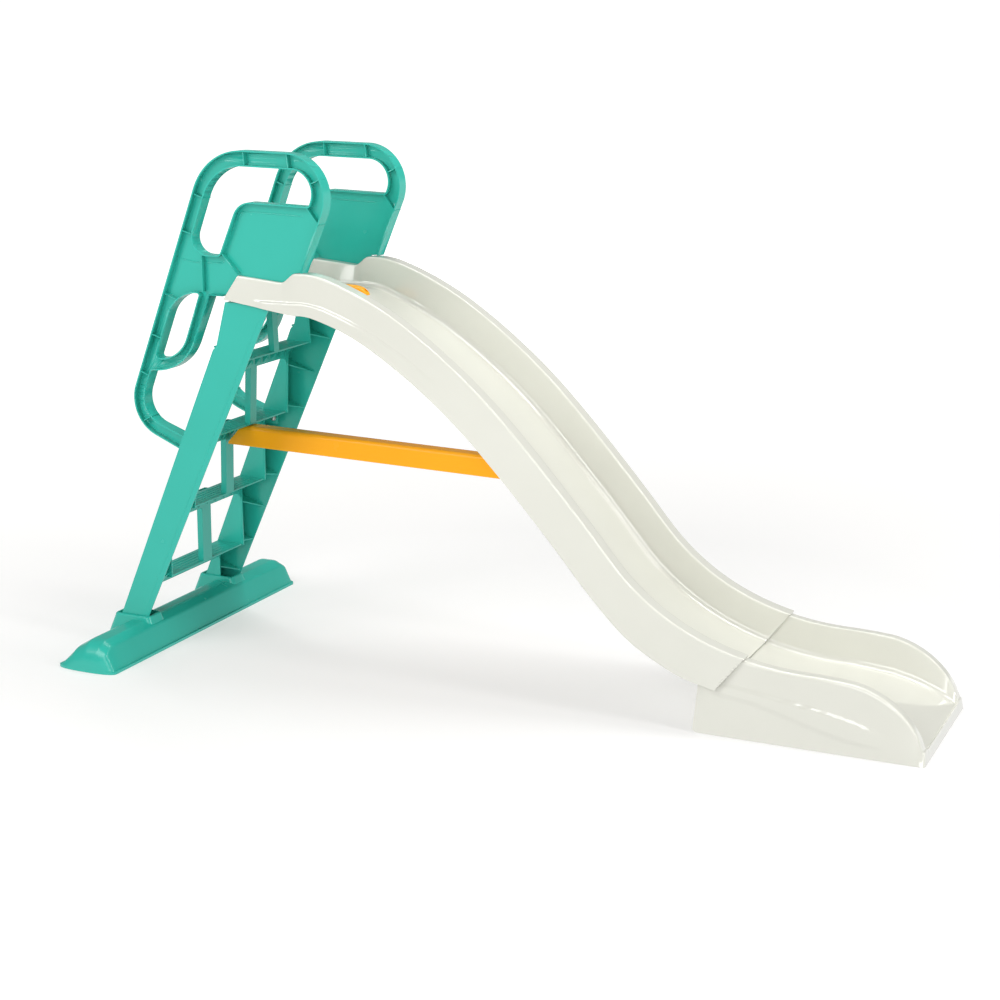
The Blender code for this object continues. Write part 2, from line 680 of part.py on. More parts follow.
def ladder():
    """One moulding: two channel rails, treads, beams, struts and the top plate."""
    body = slab(rail_outline(), RAIL_OUTER - PLASTIC, RAIL_OUTER)
    parts = [slab(rail_outline(), -RAIL_OUTER, -RAIL_OUTER + PLASTIC)]
    across = RAIL_CHEEK + PLASTIC * 0.9
    for side in (-1, 1):
        low, high = sorted((side * RAIL_CHEEK, side * (RAIL_CHEEK + PLASTIC)))
        parts.append(slab(cheek_outline(), low, high))
        low, high = sorted((side * (RAIL_CHEEK + 0.0005), side * (RAIL_OUTER - 0.0005)))
        parts.append(slab(rear_strip(), low, high))
        parts += channel_ribs(side)
        for x, z in TONGUE_BOLTS + (TAIL_BOLT,):
            y = RAIL_OUTER - 0.001
            length = y - RAIL_PLANE * untaper(z) - PLASTIC / 2 - GAP - 0.0007
            parts.append(rod((x, side * y, z), (0, -side, 0), 0.006, length))
    foot_x = climb_x(FIRST_TREAD)
    parts.append(box((foot_x + 2 * STEP_BACK, -across, FIRST_TREAD - BEAM),
                     (foot_x + PLASTIC, across, FIRST_TREAD - STEP_BACK)))
    for n in range(TREAD_COUNT):
        z = tread_level(n)
        parts.append(box((climb_x(z) + STEP_BACK, -across, z - PLASTIC),
                         (tread_front(n) + STEP_BACK, across, z)))
        parts.append(cut(riser_slab(n, across), window(n, -1), window(n, 1)))
        parts += strut(n)
    front = front_x(LADDER_TOP) - 0.004
    parts.append(box((0.343, -across, LADDER_TOP - PLASTIC), (front, across, LADDER_TOP)))
    parts.append(box((front - PLASTIC, -across, LADDER_TOP - 0.026), (front, across, LADDER_TOP)))
    parts.append(rod((BRACE_BOLT_X, 0, tread_level(2) - 0.001), (0, 0, -1), 0.0065,
                     tread_level(2) - 0.001 - brace_top(BRACE_BOLT_X) - GAP - 0.0003))
    for side in (-1, 1):
        low, high = sorted((side * (RAIL_CHEEK + 0.001), side * (RAIL_OUTER - 0.001)))
        parts.append(box((0.016, low, RAIL_BOTTOM + STEP_BACK), (0.081, high, RAIL_BOTTOM + 0.004)))
    body = join(body, *parts)
    holes = [rod((TOP_BOLT_X, y * untaper(LADDER_TOP), 0.76), (0, 0, 1), BOLT_HOLE, 0.05)
             for y in TOP_BOLTS]
    holes.append(rod((BRACE_BOLT_X, 0, 0.46), (0, 0, 1), PILOT, 0.0385))
    for side in (-1, 1):
        for x, z in TONGUE_BOLTS + (TAIL_BOLT,):
            holes.append(rod((x, side * 0.15, z), (0, side, 0), PILOT, 0.0345))
        holes.append(rod((FOOT_SCREW[0], side * FOOT_SCREW[1] * untaper(RAIL_BOTTOM), 0.0),
                         (0, 0, 1), PILOT, 0.03))
        plane = side * RAIL_PLANE * untaper(TAIL_BOLT[1])
        rear = climb_x(TAIL_SLOT[0]) - 0.004
        holes.append(box((rear, plane - 0.0022, TAIL_SLOT[0]),
                         (rear + 0.030, plane + 0.0022, TAIL_SLOT[1])))
    body = cut(body, *holes)
    return finish(taper(body), "ladder", TEAL)


# ---------------------------------------------------------------- handrails
def rib(start, end, y_low, y_high):
    """Thin rib between two places, kept clear of the flanges' outer faces."""
    a, b = Vector(start), Vector(end)
    along = (b - a).normalized()
    side = Vector((-along.y, along.x)) * 0.001
    a += along * 0.0015
    b -= along * 0.0015
    return slab([tuple(a - side), tuple(b - side), tuple(b + side), tuple(a + side)], y_low, y_high)


def handrail_shape():
    """Flat I-section: a web with two openings, flanges along every edge, and ribs between them."""
    half_web, half = PLASTIC / 2, FLANGE / 2
    outline = rounded(RAIL_LOOP + RAIL_TONGUE, 5)
    openings = [rounded(RAIL_OPENING, 4), rounded(RAIL_SLOT, 4)]
    tongue = len(RAIL_TONGUE)
    web = inset(outline, half_web)[:-tongue] + outline[-tongue:]
    body = slab(web, -half_web, half_web, [inset(line, -half_web) for line in openings])
    parts = [slab(outline[:-tongue] + inset(outline, PLASTIC)[:-tongue][::-1], -half, half)]
    parts += [slab(inset(line, -PLASTIC), -half, half, [line]) for line in openings]
    parts += [rib(a, b, 0.001 - half, half - 0.001) for a, b in RAIL_RIBS]
    parts.append(slab(TAIL, -half_web, half_web))
    body = join(body, *parts)
    holes = [rod((x, -0.01, z), (0, 1, 0), CLEAR_HOLE, 0.02) for x, z in TONGUE_BOLTS + (TAIL_BOLT,)]
    return cut(body, *holes)


def handrails():
    """The same moulding on both sides, held by two screws in its tongue and one in its tail."""
    shape = handrail_shape()
    for word, side in (("left", 1), ("right", -1)):
        rail = finish(mesh_piece(word, shape.data.copy()), f"handrail_{word}", TEAL)
        rail.location.y = side * RAIL_PLANE
        handrail_screws(word, side)
    bpy.data.objects.remove(shape)


# ---------------------------------------------------------------- foot
def rounding(distance, run, power):
    """Share left of a size at a distance from the tip of a nose."""
    share = max(0.0, 1.0 - distance / run)
    return (1.0 - share ** power) ** (1.0 / power)


def foot_rings(profile, shrink):
    """Rings of a hull along Y, both ends rounding off to a nose."""
    half = FOOT_HALF - shrink
    outline = rounded(list(profile), 3)
    places = [0.0]
    turns = [math.radians(angle) for angle in (0, 14, 28, 42, 55, 67, 77, 84)]
    places += [half - NOSE_HEIGHT_RUN * (1 - math.sin(t) ** (2 / NOSE_POWER)) for t in turns]
    rings = []
    for y in [-y for y in reversed(places)] + places[1:]:
        tall = rounding(half - abs(y), NOSE_HEIGHT_RUN, NOSE_POWER)
        wide = rounding(half - abs(y), NOSE_WIDTH_RUN, NOSE_POWER)
        rings.append([(FOOT_MIDDLE + (x - FOOT_MIDDLE) * wide, y, min(z, max(0.006, z * tall)))
                      for x, z in outline])
    return rings


def collar(side):
    """Drafted block round a rail's lower end."""
    rings = []
    for z, x_low, x_high, y_low, y_high in COLLAR_RINGS:
        corners = [(x_low, y_low), (x_high, y_low), (x_high, y_high), (x_low, y_high)]
        ring = rounded([(x, y, COLLAR_CORNER) for x, y in corners], 4)
        rings.append([(x, side * y, z) for x, y in ring])
    return from_bmesh("collar", loft(rings, capped=True))


def socket(side):
    """Cutter for a rail's socket: a close fit below, opening out at the collar's top."""
    waist, top = 0.040, COLLAR_TOP + 0.004
    clear = 0.0005
    outline = [(climb_x(SOCKET_FLOOR) - clear, SOCKET_FLOOR),
               (front_x(SOCKET_FLOOR) + clear, SOCKET_FLOOR), (front_x(waist) + clear, waist),
               (0.1150, top), (0.0300, top), (climb_x(waist) - clear, waist)]
    low, high = sorted((side * 0.1486, side * 0.1942))
    return slab(outline, low, high)


def foot():
    """Open-bottomed bar with two collars that hold the rails."""
    body = from_bmesh("foot", loft(foot_rings(FOOT_SECTION, 0.0), capped=True))
    inside = from_bmesh("inside", loft(foot_rings(FOOT_INSIDE, PLASTIC), capped=True))
    body = cut(body, inside)
    body = join(body, collar(-1), collar(1))
    holes = [rod((FOOT_SCREW[0], side * FOOT_SCREW[1], -0.01), (0, 0, 1), CLEAR_HOLE, 0.03)
             for side in (-1, 1)]
    body = cut(body, socket(-1), socket(1), *holes)
    return finish(body, "foot", TEAL)


# ---------------------------------------------------------------- brace
def brace_end_x(z_of, reach):
    """X at which a line z_of(x) meets the brace's slide end, a reach below the slide's floor."""
    point, normal = floor_frame(BRACE_X)
    base = point - normal * reach
    low, high = 0.9, 1.1
    for _ in range(40):
        middle = (low + high) / 2
        if (middle - base.x) * normal.x + (z_of(middle) - base.z) * normal.z < 0:
            low = middle
        else:
            high = middle
    return low


def soften(source, chosen, width, steps):
    """Bevel the edges that a test picks by their two ends."""
    built = bmesh.new()
    built.from_mesh(source.data)
    edges = [edge for edge in built.edges if chosen(edge.verts[0].co, edge.verts[1].co)]
    bmesh.ops.bevel(built, geom=edges, offset=width, segments=steps, profile=0.5, affect="EDGES")
    name = source.name
    bpy.data.objects.remove(source)
    return from_bmesh(name, built)


def brace_body(wall):
    """Solid of the brace, or of its hollow when a wall is given."""
    def top(x):
        return brace_top(x) - wall

    def bottom(x):
        return brace_top(x) - BRACE_HEIGHT - (0.01 if wall else 0.0)

    reach = BRACE_BOSS + GAP + wall
    end_top, end_bottom = brace_end_x(top, reach), brace_end_x(bottom, reach)
    tip_x, tip_z = BRACE_TIP
    outline = [(tip_x + wall, bottom(tip_x)), (end_bottom, bottom(end_bottom)),
               (end_top, top(end_top)), (BRACE_SHOULDER + wall * 0.4, top(BRACE_SHOULDER)),
               (tip_x + wall, tip_z - wall * 0.4)]
    half = BRACE_HALF - wall
    body = slab(outline, -half, half)

    def upper(a, b):
        return abs(a.y - b.y) < 0.001 and min(a.z - bottom(a.x), b.z - bottom(b.x)) > 0.02 \
            and abs(a.x - b.x) > 0.3
    return soften(body, upper, 0.0065 - wall * 0.8, 4)


def brace():
    """Channel with its two ends closed, screwed up into the tread and on to the slide."""
    body = cut(brace_body(0.0), brace_body(PLASTIC))
    up = floor_frame(BRACE_X)[1]
    holes = [rod(on_floor(BRACE_X, y, -0.018), up, CLEAR_HOLE, 0.012) for y in BRACE_SCREWS]
    holes.append(rod((BRACE_BOLT_X, 0, 0.46), (0, 0, 1), CLEAR_HOLE, 0.05))
    return finish(cut(body, *holes), "brace", YELLOW)


# ---------------------------------------------------------------- water nozzle
def turned(name, profile, start, direction, sides=16):
    """Closed turned solid: profile of (radius, distance along the axis), open at the axis."""
    built = bmesh.new()
    points = [built.verts.new((radius, 0.0, along)) for radius, along in profile]
    for a, b in zip(points, points[1:]):
        built.edges.new((a, b))
    mesh = bpy.data.meshes.new(name)
    built.to_mesh(mesh)
    built.free()
    made = mesh_piece(name, mesh)
    turn = made.modifiers.new("turn", "SCREW")
    turn.axis = "Z"
    turn.steps = sides
    turn.render_steps = sides
    turn.use_merge_vertices = True
    turn.merge_threshold = 0.00001
    axis = Vector(direction).normalized()
    made.matrix_world = Matrix.Translation(start) @ axis.to_track_quat("Z", "Y").to_matrix().to_4x4()
    return to_mesh(made)


def ring_profile(inner, outer, low, high):
    return [(inner, low), (outer, low), (outer, high), (inner, high), (inner, low)]


def dome():
    """Long rounded cap: superelliptic rings that draw in towards the top."""
    rings = []
    for k in range(7):
        turn = math.radians(min(86.0, 15.0 * k))
        wide = math.cos(turn) ** 0.7
        z = ENTRY_FLOOR + SEAL + 2 * GAP + NOZZLE_HEIGHT * math.sin(turn) ** 0.9
        ring = []
        for i in range(24):
            t = math.tau * i / 24
            across = math.copysign(abs(math.cos(t)) ** 0.8, math.cos(t))
            beside = math.copysign(abs(math.sin(t)) ** 0.8, math.sin(t))
            lean = -0.006 * math.sin(turn)
            ring.append((NOZZLE[0] - NOZZLE_SHIFT + lean + NOZZLE_LENGTH / 2 * wide * across,
                         NOZZLE_WIDTH / 2 * wide * beside, z))
        rings.append(ring)
    return from_bmesh("dome", loft(rings, capped=True))


def water_nozzle():
    """Dome with its spigot through the floor and a barb below for a garden hose."""
    top = ENTRY_FLOOR + SEAL + 3 * GAP
    stem = [(0.0, 0.0), (SPIGOT, 0.0), (SPIGOT, 0.024), (0.0068, 0.0245), (0.0068, 0.030),
            (0.0080, 0.0305), (0.0066, 0.036), (0.0066, 0.0375), (0.0080, 0.038), (0.0062, 0.0435),
            (0.0, 0.0435)]
    stem_body = turned("stem", stem, (NOZZLE[0], 0.0, top + 0.002), (0, 0, -1), 24)
    body = join(dome(), stem_body)
    bore = rod((NOZZLE[0], 0.0, 0.74), (0, 0, 1), 0.0045, 0.07)
    outlet = rod((NOZZLE[0] - 0.004, 0.0, top + 0.009), (1, 0, 0), 0.0035, 0.06, 12)
    return finish(cut(body, bore, outlet), "water_nozzle", YELLOW, origin=NOZZLE)


def nozzle_seal():
    body = turned("seal", ring_profile(SPIGOT + 0.0004, 0.0150, 0.0, SEAL),
                  (NOZZLE[0], 0.0, ENTRY_FLOOR + GAP), (0, 0, 1), 24)
    return finish(body, "nozzle_seal", RUBBER)


def nozzle_retainer():
    body = turned("retainer", ring_profile(SPIGOT + 0.0003, 0.0140, 0.0, 0.0035),
                  (NOZZLE[0], 0.0, ENTRY_FLOOR - NOZZLE_BOSS - GAP), (0, 0, -1), 24)
    return finish(body, "nozzle_retainer", YELLOW, origin=NOZZLE)


# ---------------------------------------------------------------- fasteners
def screw(name, seat, direction, length, head=0.0045, tall=0.0026, shank=0.0019):
    """Pan-head screw: seat is the point under its head, direction the way it is driven."""
    profile = [(0.0, -tall), (head * 0.62, -tall), (head * 0.93, -tall * 0.66), (head, -tall * 0.25),
               (head, 0.0), (shank, 0.0), (shank, length - 0.0015), (shank * 0.45, length),
               (0.0, length)]
    return finish(turned(name, profile, seat, direction, 12), name, STEEL)


def washer(name, seat, direction, outer, thick, inner=0.0023):
    """Flat washer whose seat is its face towards the screw's head."""
    ring = turned(name, ring_profile(inner, outer, 0.0, thick), seat, direction, 16)
    return finish(ring, name, STEEL)


def hex_nut(name, seat, direction):
    """Nut whose seat is the face that it is tightened against, with the thread as a hole."""
    body = rod(seat, direction, 0.0065, 0.0050, 6)
    back = Vector(seat) - Vector(direction) * 0.001
    return finish(cut(body, rod(back, direction, 0.0033, 0.0070, 12)), name, STEEL)


def handrail_screws(word, side):
    """Two screws through the tongue and one, with a washer, through the tail."""
    inner = side * (RAIL_PLANE - PLASTIC / 2 - GAP)
    for number, (x, z) in enumerate(TONGUE_BOLTS, 1):
        screw(f"tongue_screw_{word}_{number}", (x, inner, z), (0, side, 0), 0.0125)
    x, z = TAIL_BOLT
    washer(f"tail_washer_{word}", (x, inner - side * WASHER_THICK, z), (0, side, 0), 0.0080,
           WASHER_THICK)
    screw(f"tail_screw_{word}", (x, inner - side * (WASHER_THICK + GAP), z), (0, side, 0), 0.0160,
          head=0.0058, tall=0.0036)


def slide_fasteners():
    """Bolts and nuts at the entry, screws into the brace, the seam and the foot."""
    under = LADDER_TOP - PLASTIC - GAP
    brace_up = floor_frame(BRACE_X)[1]
    seam_up = floor_frame(SEAM_SCREW_X)[1]
    for number in (0, 1):
        word = ("left", "right")[number]
        y = -TOP_BOLTS[number]
        screw(f"top_bolt_{word}", (TOP_BOLT_X, y, ENTRY_FLOOR + GAP), (0, 0, -1), 0.0150,
              head=0.0070, tall=0.0032, shank=0.0030)
        hex_nut(f"top_nut_{word}", (TOP_BOLT_X, y, under), (0, 0, -1))
        y = -BRACE_SCREWS[number]
        screw(f"brace_screw_{word}",
              on_floor(BRACE_X, y, -BRACE_BOSS - PLASTIC - 2.5 * GAP), brace_up, 0.0120)
        y = -SEAM_SCREWS[number]
        washer(f"seam_washer_{word}", on_floor(SEAM_SCREW_X, y, -SEAM_BOSS - GAP - WASHER_THICK),
               seam_up, 0.0100, WASHER_THICK)
        screw(f"seam_screw_{word}", 
              on_floor(SEAM_SCREW_X, y, -SEAM_BOSS - 2 * GAP - WASHER_THICK), seam_up, 0.0068)
        side = 1 - 2 * number
        screw(f"foot_screw_{word}",
              (FOOT_SCREW[0], side * FOOT_SCREW[1], SOCKET_FLOOR - PLASTIC - GAP), (0, 0, 1), 0.0085)
    wall_under = brace_top(BRACE_BOLT_X) - PLASTIC - 2 * GAP
    screw("brace_tread_screw", (BRACE_BOLT_X, 0.0, wall_under), (0, 0, 1), 0.0068)


# ---------------------------------------------------------------- the whole slide
slide_upper()
slide_lower()
ladder()
handrails()
foot()
brace()
nozzle_seal()
water_nozzle()
nozzle_retainer()
slide_fasteners()
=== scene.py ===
"""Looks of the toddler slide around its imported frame: fine shells, handrails, foot, brace and nozzle.

Distances are in metres. The pieces are laid out from the rear edge of the foot, as the part is,
and then moved so that the middle of the length and width is the origin.
"""
import json
from math import copysign, cos, pi, radians, sin, tan, tau

import bmesh
import bpy
from mathutils import Matrix, Vector


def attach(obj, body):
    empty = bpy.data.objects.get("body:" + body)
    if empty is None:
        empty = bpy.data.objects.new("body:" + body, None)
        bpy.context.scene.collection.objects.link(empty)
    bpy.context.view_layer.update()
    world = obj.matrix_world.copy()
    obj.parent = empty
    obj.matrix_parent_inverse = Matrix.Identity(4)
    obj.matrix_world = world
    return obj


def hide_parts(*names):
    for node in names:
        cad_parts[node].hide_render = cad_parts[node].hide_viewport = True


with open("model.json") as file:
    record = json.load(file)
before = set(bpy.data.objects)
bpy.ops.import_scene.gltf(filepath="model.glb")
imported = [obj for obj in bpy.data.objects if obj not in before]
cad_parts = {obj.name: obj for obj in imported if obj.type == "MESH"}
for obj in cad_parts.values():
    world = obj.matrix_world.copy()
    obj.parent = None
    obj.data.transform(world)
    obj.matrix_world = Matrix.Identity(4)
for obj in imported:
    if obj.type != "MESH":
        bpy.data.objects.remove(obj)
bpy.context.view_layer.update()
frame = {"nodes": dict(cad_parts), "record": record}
NODES = frame["nodes"]
BODY = "slide_frame"
SCENE = bpy.context.scene
TOOLS = bpy.data.collections.new("cutters")
SCENE.collection.children.link(TOOLS)

# ---- driving dimensions
LENGTH = 1.870  # foot's rear edge to the slide's exit lip
BELOW_GROUND = -0.006  # the lower section is lofted down to here and then cut at the ground
GAP = 0.0003  # clearance between touching pieces
PLASTIC = 0.003  # wall of the ladder, handrails, foot and brace
SHELL = 0.0035  # wall of the two slide sections
WELD = 0.00001  # points closer than this become one

# Slide: the rim is a chain of arcs seen from the side, each (length, turn in degrees).
RIM_START = (0.512, 0.8685)
RIM_HEADING = 4.5
RIM_RUNS = ((0.0755, -22.4), (0.204, -15.3), (0.320, -13.4), (0.315, -3.8), (0.252, 29.9),
            (0.200, 19.8), (0.110, -4.7))
RIM_HALF_WIDTH = 0.175
HEM_HALF_WIDTH = 0.188
FLOOR_DEPTH = 0.070  # floor below the rim
HEM_DEPTHS = ((0.512, 0.086), (0.700, 0.0805), (1.250, 0.079), (1.340, 0.086), (1.430, 0.086),
              (1.506, 0.0795))  # skirt below the rim, at places along X
ENTRY_FLOOR = 0.804
SEAM_X = 1.506  # end of the upper section, at its rim
TOE_START = 1.170  # start of the curve down to the seam
TOE_STEPS = 12  # and its stations
CREST_RUNS = ((0.512, 0.640, 6), (0.670, 0.850, 5), (0.910, 1.140, 4))  # stations before it
LEAN_START = 1.200
SEAM_LEAN = 0.034  # how far the seam's lower end lies back from a square cut
FLOOR_LEAN = 0.85  # share of that at the floor
CREST_END = 0.660  # the floor is a little higher over the crest, up to here
CREST_RISE = 0.0052

# Level entry with the low shelf on which the handrails stand: its rim as (x, z), up the step
ENTRY_RIM = ((0.3735, 0.8580), (0.4100, 0.8547), (0.4450, 0.8515), (0.4720, 0.8490),
             (0.4840, 0.8500), (0.4940, 0.8568), (0.5030, 0.8642))
ENTRY_FLOOR_X = (0.347, 0.504)
ENTRY_HEM = ((0.3436, 0.8070), (0.5050, 0.7838))

# Lower section: it starts under the upper one and comes down to the ground at the exit.
LOWER_REAR = 1.405
LOWER_TUCK = 0.015  # its first station lies this far in front of its skirt's rear edge
RUN_OUT = (1.530, 1.680)  # stations from the seam to the exit
LOWER_GAP = 0.0008
EXIT_START = 1.700  # where the walls start their quarter oval down to the ground
EXIT_POWER = 1.85
EXIT_SWEEP = 88.0  # degrees of that quarter oval that the walls follow
EXIT_BEND = 1.7  # how late the floor bends down to the lip
EXIT_DROP = 0.002  # the run-out floor lies this much deeper than the run's
LEAST_WALL = 0.002  # height left of the walls at the lip
WALL_STOP = 0.003  # the walls end this far before the lip
LIP_BAND = 0.008  # and the floor's bend this far before it
LIP_HEIGHT = 0.020
LIP_REACH = 0.0008  # the lip's end face leans back, so its line starts this much beyond

# Ladder
TREAD_COUNT = 4
FIRST_TREAD = 0.164
RISE = 0.168
FIRST_FRONT = 0.149  # front edge of the lowest tread
RUN = 0.069
CLIMB_LINE = (0.0082, 0.4307)  # rear face of the rails: x = a + b z
FRONT_LINE = (0.0770, 0.4714)  # front edge of the rails
RAIL_OUTER = 0.1866  # half widths at TAPER_LEVEL, before the taper
RAIL_CHEEK = 0.1446
TAPER_LEVEL = 0.400
TAPER = 0.0971  # share of the width lost for each metre of height
RAIL_BOTTOM = 0.0125

# Handrails: I-section loops standing over the slide's rim
RAIL_PLANE = 0.166
FLANGE = 0.030
TAIL_BOLT = (0.238, 0.476)
TAIL = ((0.2090, 0.4625), (0.2500, 0.4625), (0.2500, 0.4925), (0.2180, 0.4925))
TONGUE_BOLTS = ((0.388, 0.780), (0.416, 0.780))
# Outlines seen from the side: corners as (x, z, radius)
RAIL_LOOP = ((0.5321, 0.8702, 0), (0.6374, 1.1140, 0.091), (0.3083, 1.1208, 0.129),
             (0.0717, 0.5287, 0.0845), (0.2101, 0.4698, 0), (0.2225, 0.4987, 0),
             (0.1054, 0.5420, 0.060), (0.1452, 0.6405, 0.006), (0.2321, 0.6405, 0.112),
             (0.3050, 0.8125, 0), (0.3380, 0.8125, 0))
RAIL_TONGUE = ((0.3620, 0.8125, 0), (0.3620, 0.7650, 0), (0.4320, 0.7650, 0), (0.4450, 0.8000, 0),
               (0.4720, 0.8200, 0), (0.4800, 0.8460, 0), (0.4805, 0.8506, 0), (0.4840, 0.8510, 0),
               (0.4940, 0.8578, 0), (0.5030, 0.8652, 0), (0.5120, 0.8697, 0))
RAIL_OPENING = ((0.3254, 1.0880, 0.101), (0.5859, 1.0815, 0.0475), (0.5544, 1.0083, 0.006),
                (0.3844, 1.0138, 0.045), (0.3334, 0.8985, 0.012), (0.2511, 0.8985, 0.035))
RAIL_SLOT = ((0.2173, 0.8155, 0.080), (0.2790, 0.8155, 0.004), (0.2223, 0.6680, 0.077),
             (0.1580, 0.6680, 0.006))
RAIL_RIBS = (((0.288, 0.897), (0.287, 0.818)), ((0.339, 0.903), (0.378, 0.861)),
             ((0.549, 1.006), (0.578, 0.970)), ((0.186, 0.812), (0.222, 0.798)),
             ((0.275, 1.026), (0.301, 1.017)), ((0.241, 0.948), (0.266, 0.941)),
             ((0.401, 1.118), (0.402, 1.088)), ((0.505, 1.115), (0.508, 1.085)),
             ((0.584, 1.066), (0.558, 1.054)), ((0.150, 0.720), (0.177, 0.712)),
             ((0.116, 0.636), (0.140, 0.627)), ((0.118, 0.525), (0.142, 0.539)))

RIB_HALF = 0.001
RIB_SHORT = 0.0015  # ribs stop this far before the places above
RIB_LOW = 0.001  # and stand this much lower than the flanges

# Foot: a hollow bar across the ladder with a raised collar round each rail
FOOT_HALF = 0.388
FOOT_SECTION = ((0.000, 0.0, 0.0), (0.150, 0.0, 0.0), (0.150, 0.006, 0.0), (0.1445, 0.006, 0.0),
                (0.1275, 0.055, 0.010), (0.1070, 0.066, 0.012), (0.0740, 0.066, 0.020),
                (0.0400, 0.046, 0.012), (0.0055, 0.006, 0.0), (0.000, 0.006, 0.0))
FOOT_INSIDE = ((0.0095, -0.010, 0.0), (0.1410, -0.010, 0.0), (0.1238, 0.0525, 0.008),
               (0.1060, 0.063, 0.010), (0.0750, 0.063, 0.018), (0.0425, 0.0435, 0.010))
FOOT_MIDDLE = 0.075
FOOT_RIM = 0.006  # height of the flat rim round its lower edge
FOOT_CHORD = 0.0015  # length of the chords in its rounded corners
NOSE_HEIGHT_RUN = 0.054  # length of the nose over which the height rounds off
NOSE_WIDTH_RUN = 0.018  # and the width
NOSE_POWER = 2.5
SOCKET_FLOOR = RAIL_BOTTOM - GAP
COLLAR_TOP = 0.0755
COLLAR_RINGS = ((SOCKET_FLOOR - PLASTIC, 0.0010, 0.1365, 0.1380, 0.2060),
                (0.0200, 0.0010, 0.1365, 0.1385, 0.2050),
                (COLLAR_TOP, 0.0220, 0.1185, 0.1425, 0.2005))  # z, x range, half-width range
COLLAR_CORNER = 0.013
COLLAR_EDGE = 0.0045  # rounding of the collar's top
SOCKET_WAIST = 0.040  # above this the sockets open out
SOCKET_MOUTH = (0.0300, 0.1150)
SOCKET_WIDTHS = (0.1486, 0.1942)
SOCKET_CLEAR = 0.0005
FOOT_SCREW = (0.052, 0.1718)
STRIP = ((0.0795, 0.1050), 0.1335, 0.005)  # band on top: x range, half length, corner

# Brace: a channel open below, from under the third tread to the underside of the slide
BRACE_HALF = 0.0225
BRACE_TOP = (0.2800, 0.4950)
BRACE_SLOPE = -0.024
BRACE_HEIGHT = 0.045
BRACE_TIP = (0.2330, 0.4555)  # upper end of the short upright at its ladder end
BRACE_SHOULDER = 0.2690  # where its slanted end meets the top
BRACE_BOLT_X = 0.2770
BRACE_EDGE = 0.0100  # rounding of its two upper edges

# Fasteners
CLEAR_HOLE = 0.0024  # radius of a screw's hole in plastic that it passes through
BOLT_HOLE = 0.0035
TOP_BOLT_X = 0.400  # slide floor to the ladder's top plate
TOP_BOLTS = (-0.090, 0.090)
SEAM_SCREW_X = 1.448
SEAM_SCREWS = (-0.080, 0.080)
BRACE_X = 1.067  # where the rim passes the brace's upper end
BRACE_BOSS = 0.010  # how far the slide's bosses for the brace stand below its floor
SEAM_BOSS = 0.0045
BRACE_SCREWS = (-0.012, 0.012)

# Water nozzle on the entry floor
NOZZLE = (0.545, 0.0, ENTRY_FLOOR)
NOZZLE_LENGTH = 0.095
NOZZLE_WIDTH = 0.040
NOZZLE_HEIGHT = 0.0205
NOZZLE_SHIFT = 0.0005  # its middle lies this far behind the swivel axis
SEAL = 0.0015
SPIGOT = 0.009
BARB = ((0.0068, 0.0245), (0.0068, 0.030), (0.0080, 0.0305), (0.0066, 0.036), (0.0066, 0.0375),
        (0.0080, 0.038), (0.0062, 0.0435))  # (radius, distance down) below the spigot
SPIGOT_LENGTH = 0.024
BORE = 0.0045
OUTLET = 0.0035
NOZZLE_BOSS = 0.0098  # the round seat under the floor, measured from the floor's top
NOZZLE_SEAT = 0.017  # radius of that seat
DOME_LEAN = 0.006  # how far back the cap's top lies
DOME_POWERS = (0.7, 0.9, 0.8)  # fullness of its sides, of its height and of its plan


# ---- mesh tools
def new_object(name, data, collection=TOOLS):
    """Object for a mesh, curve, camera or lamp in a collection."""
    made = bpy.data.objects.new(name, data)
    collection.objects.link(made)
    return made


def raw_piece(name, built, collection=TOOLS):
    """Turn a bmesh into an object in a collection."""
    mesh = bpy.data.meshes.new(name)
    built.to_mesh(mesh)
    built.free()
    return new_object(name, mesh, collection)


def from_bmesh(name, built, collection=TOOLS):
    """Turn a bmesh into an object with its faces pointing out."""
    bmesh.ops.recalc_face_normals(built, faces=built.faces)
    return raw_piece(name, built, collection)


def box(low, high):
    """Axis-aligned box between two corners."""
    built = bmesh.new()
    size = [b - a for a, b in zip(low, high)]
    middle = [(a + b) / 2 for a, b in zip(low, high)]
    place = Matrix.Translation(middle) @ Matrix.Diagonal((*size, 1.0))
    bmesh.ops.create_cube(built, size=1.0, matrix=place)
    return from_bmesh("box", built)


def facing(place, direction):
    """Matrix that moves to a place and turns Z along a direction."""
    return Matrix.Translation(place) @ direction.to_track_quat("Z", "Y").to_matrix().to_4x4()


def rod(start, direction, radius, length, sides):
    """Cylinder from start along direction."""
    built = bmesh.new()
    axis = Vector(direction).normalized()
    bmesh.ops.create_cone(built, cap_ends=True, segments=sides, radius1=radius, radius2=radius,
                          depth=length, matrix=facing(Vector(start) + axis * length / 2, axis))
    return from_bmesh("rod", built)


def slab(outline, y_low, y_high, openings=()):
    """Flat outline in the XZ plane, with any openings, given thickness along Y."""
    curve = bpy.data.curves.new("slab", "CURVE")
    curve.dimensions = "2D"
    curve.fill_mode = "BOTH"
    curve.extrude = (y_high - y_low) / 2
    for line in (outline, *openings):
        spline = curve.splines.new("POLY")
        spline.points.add(len(line) - 1)
        for point, (x, z) in zip(spline.points, line):
            point.co = (x, z, 0.0, 1.0)
        spline.use_cyclic_u = True
    flat = new_object("slab", curve)
    flat.rotation_euler = (pi / 2, 0.0, 0.0)
    flat.location = (0.0, (y_low + y_high) / 2, 0.0)
    return to_mesh(flat)


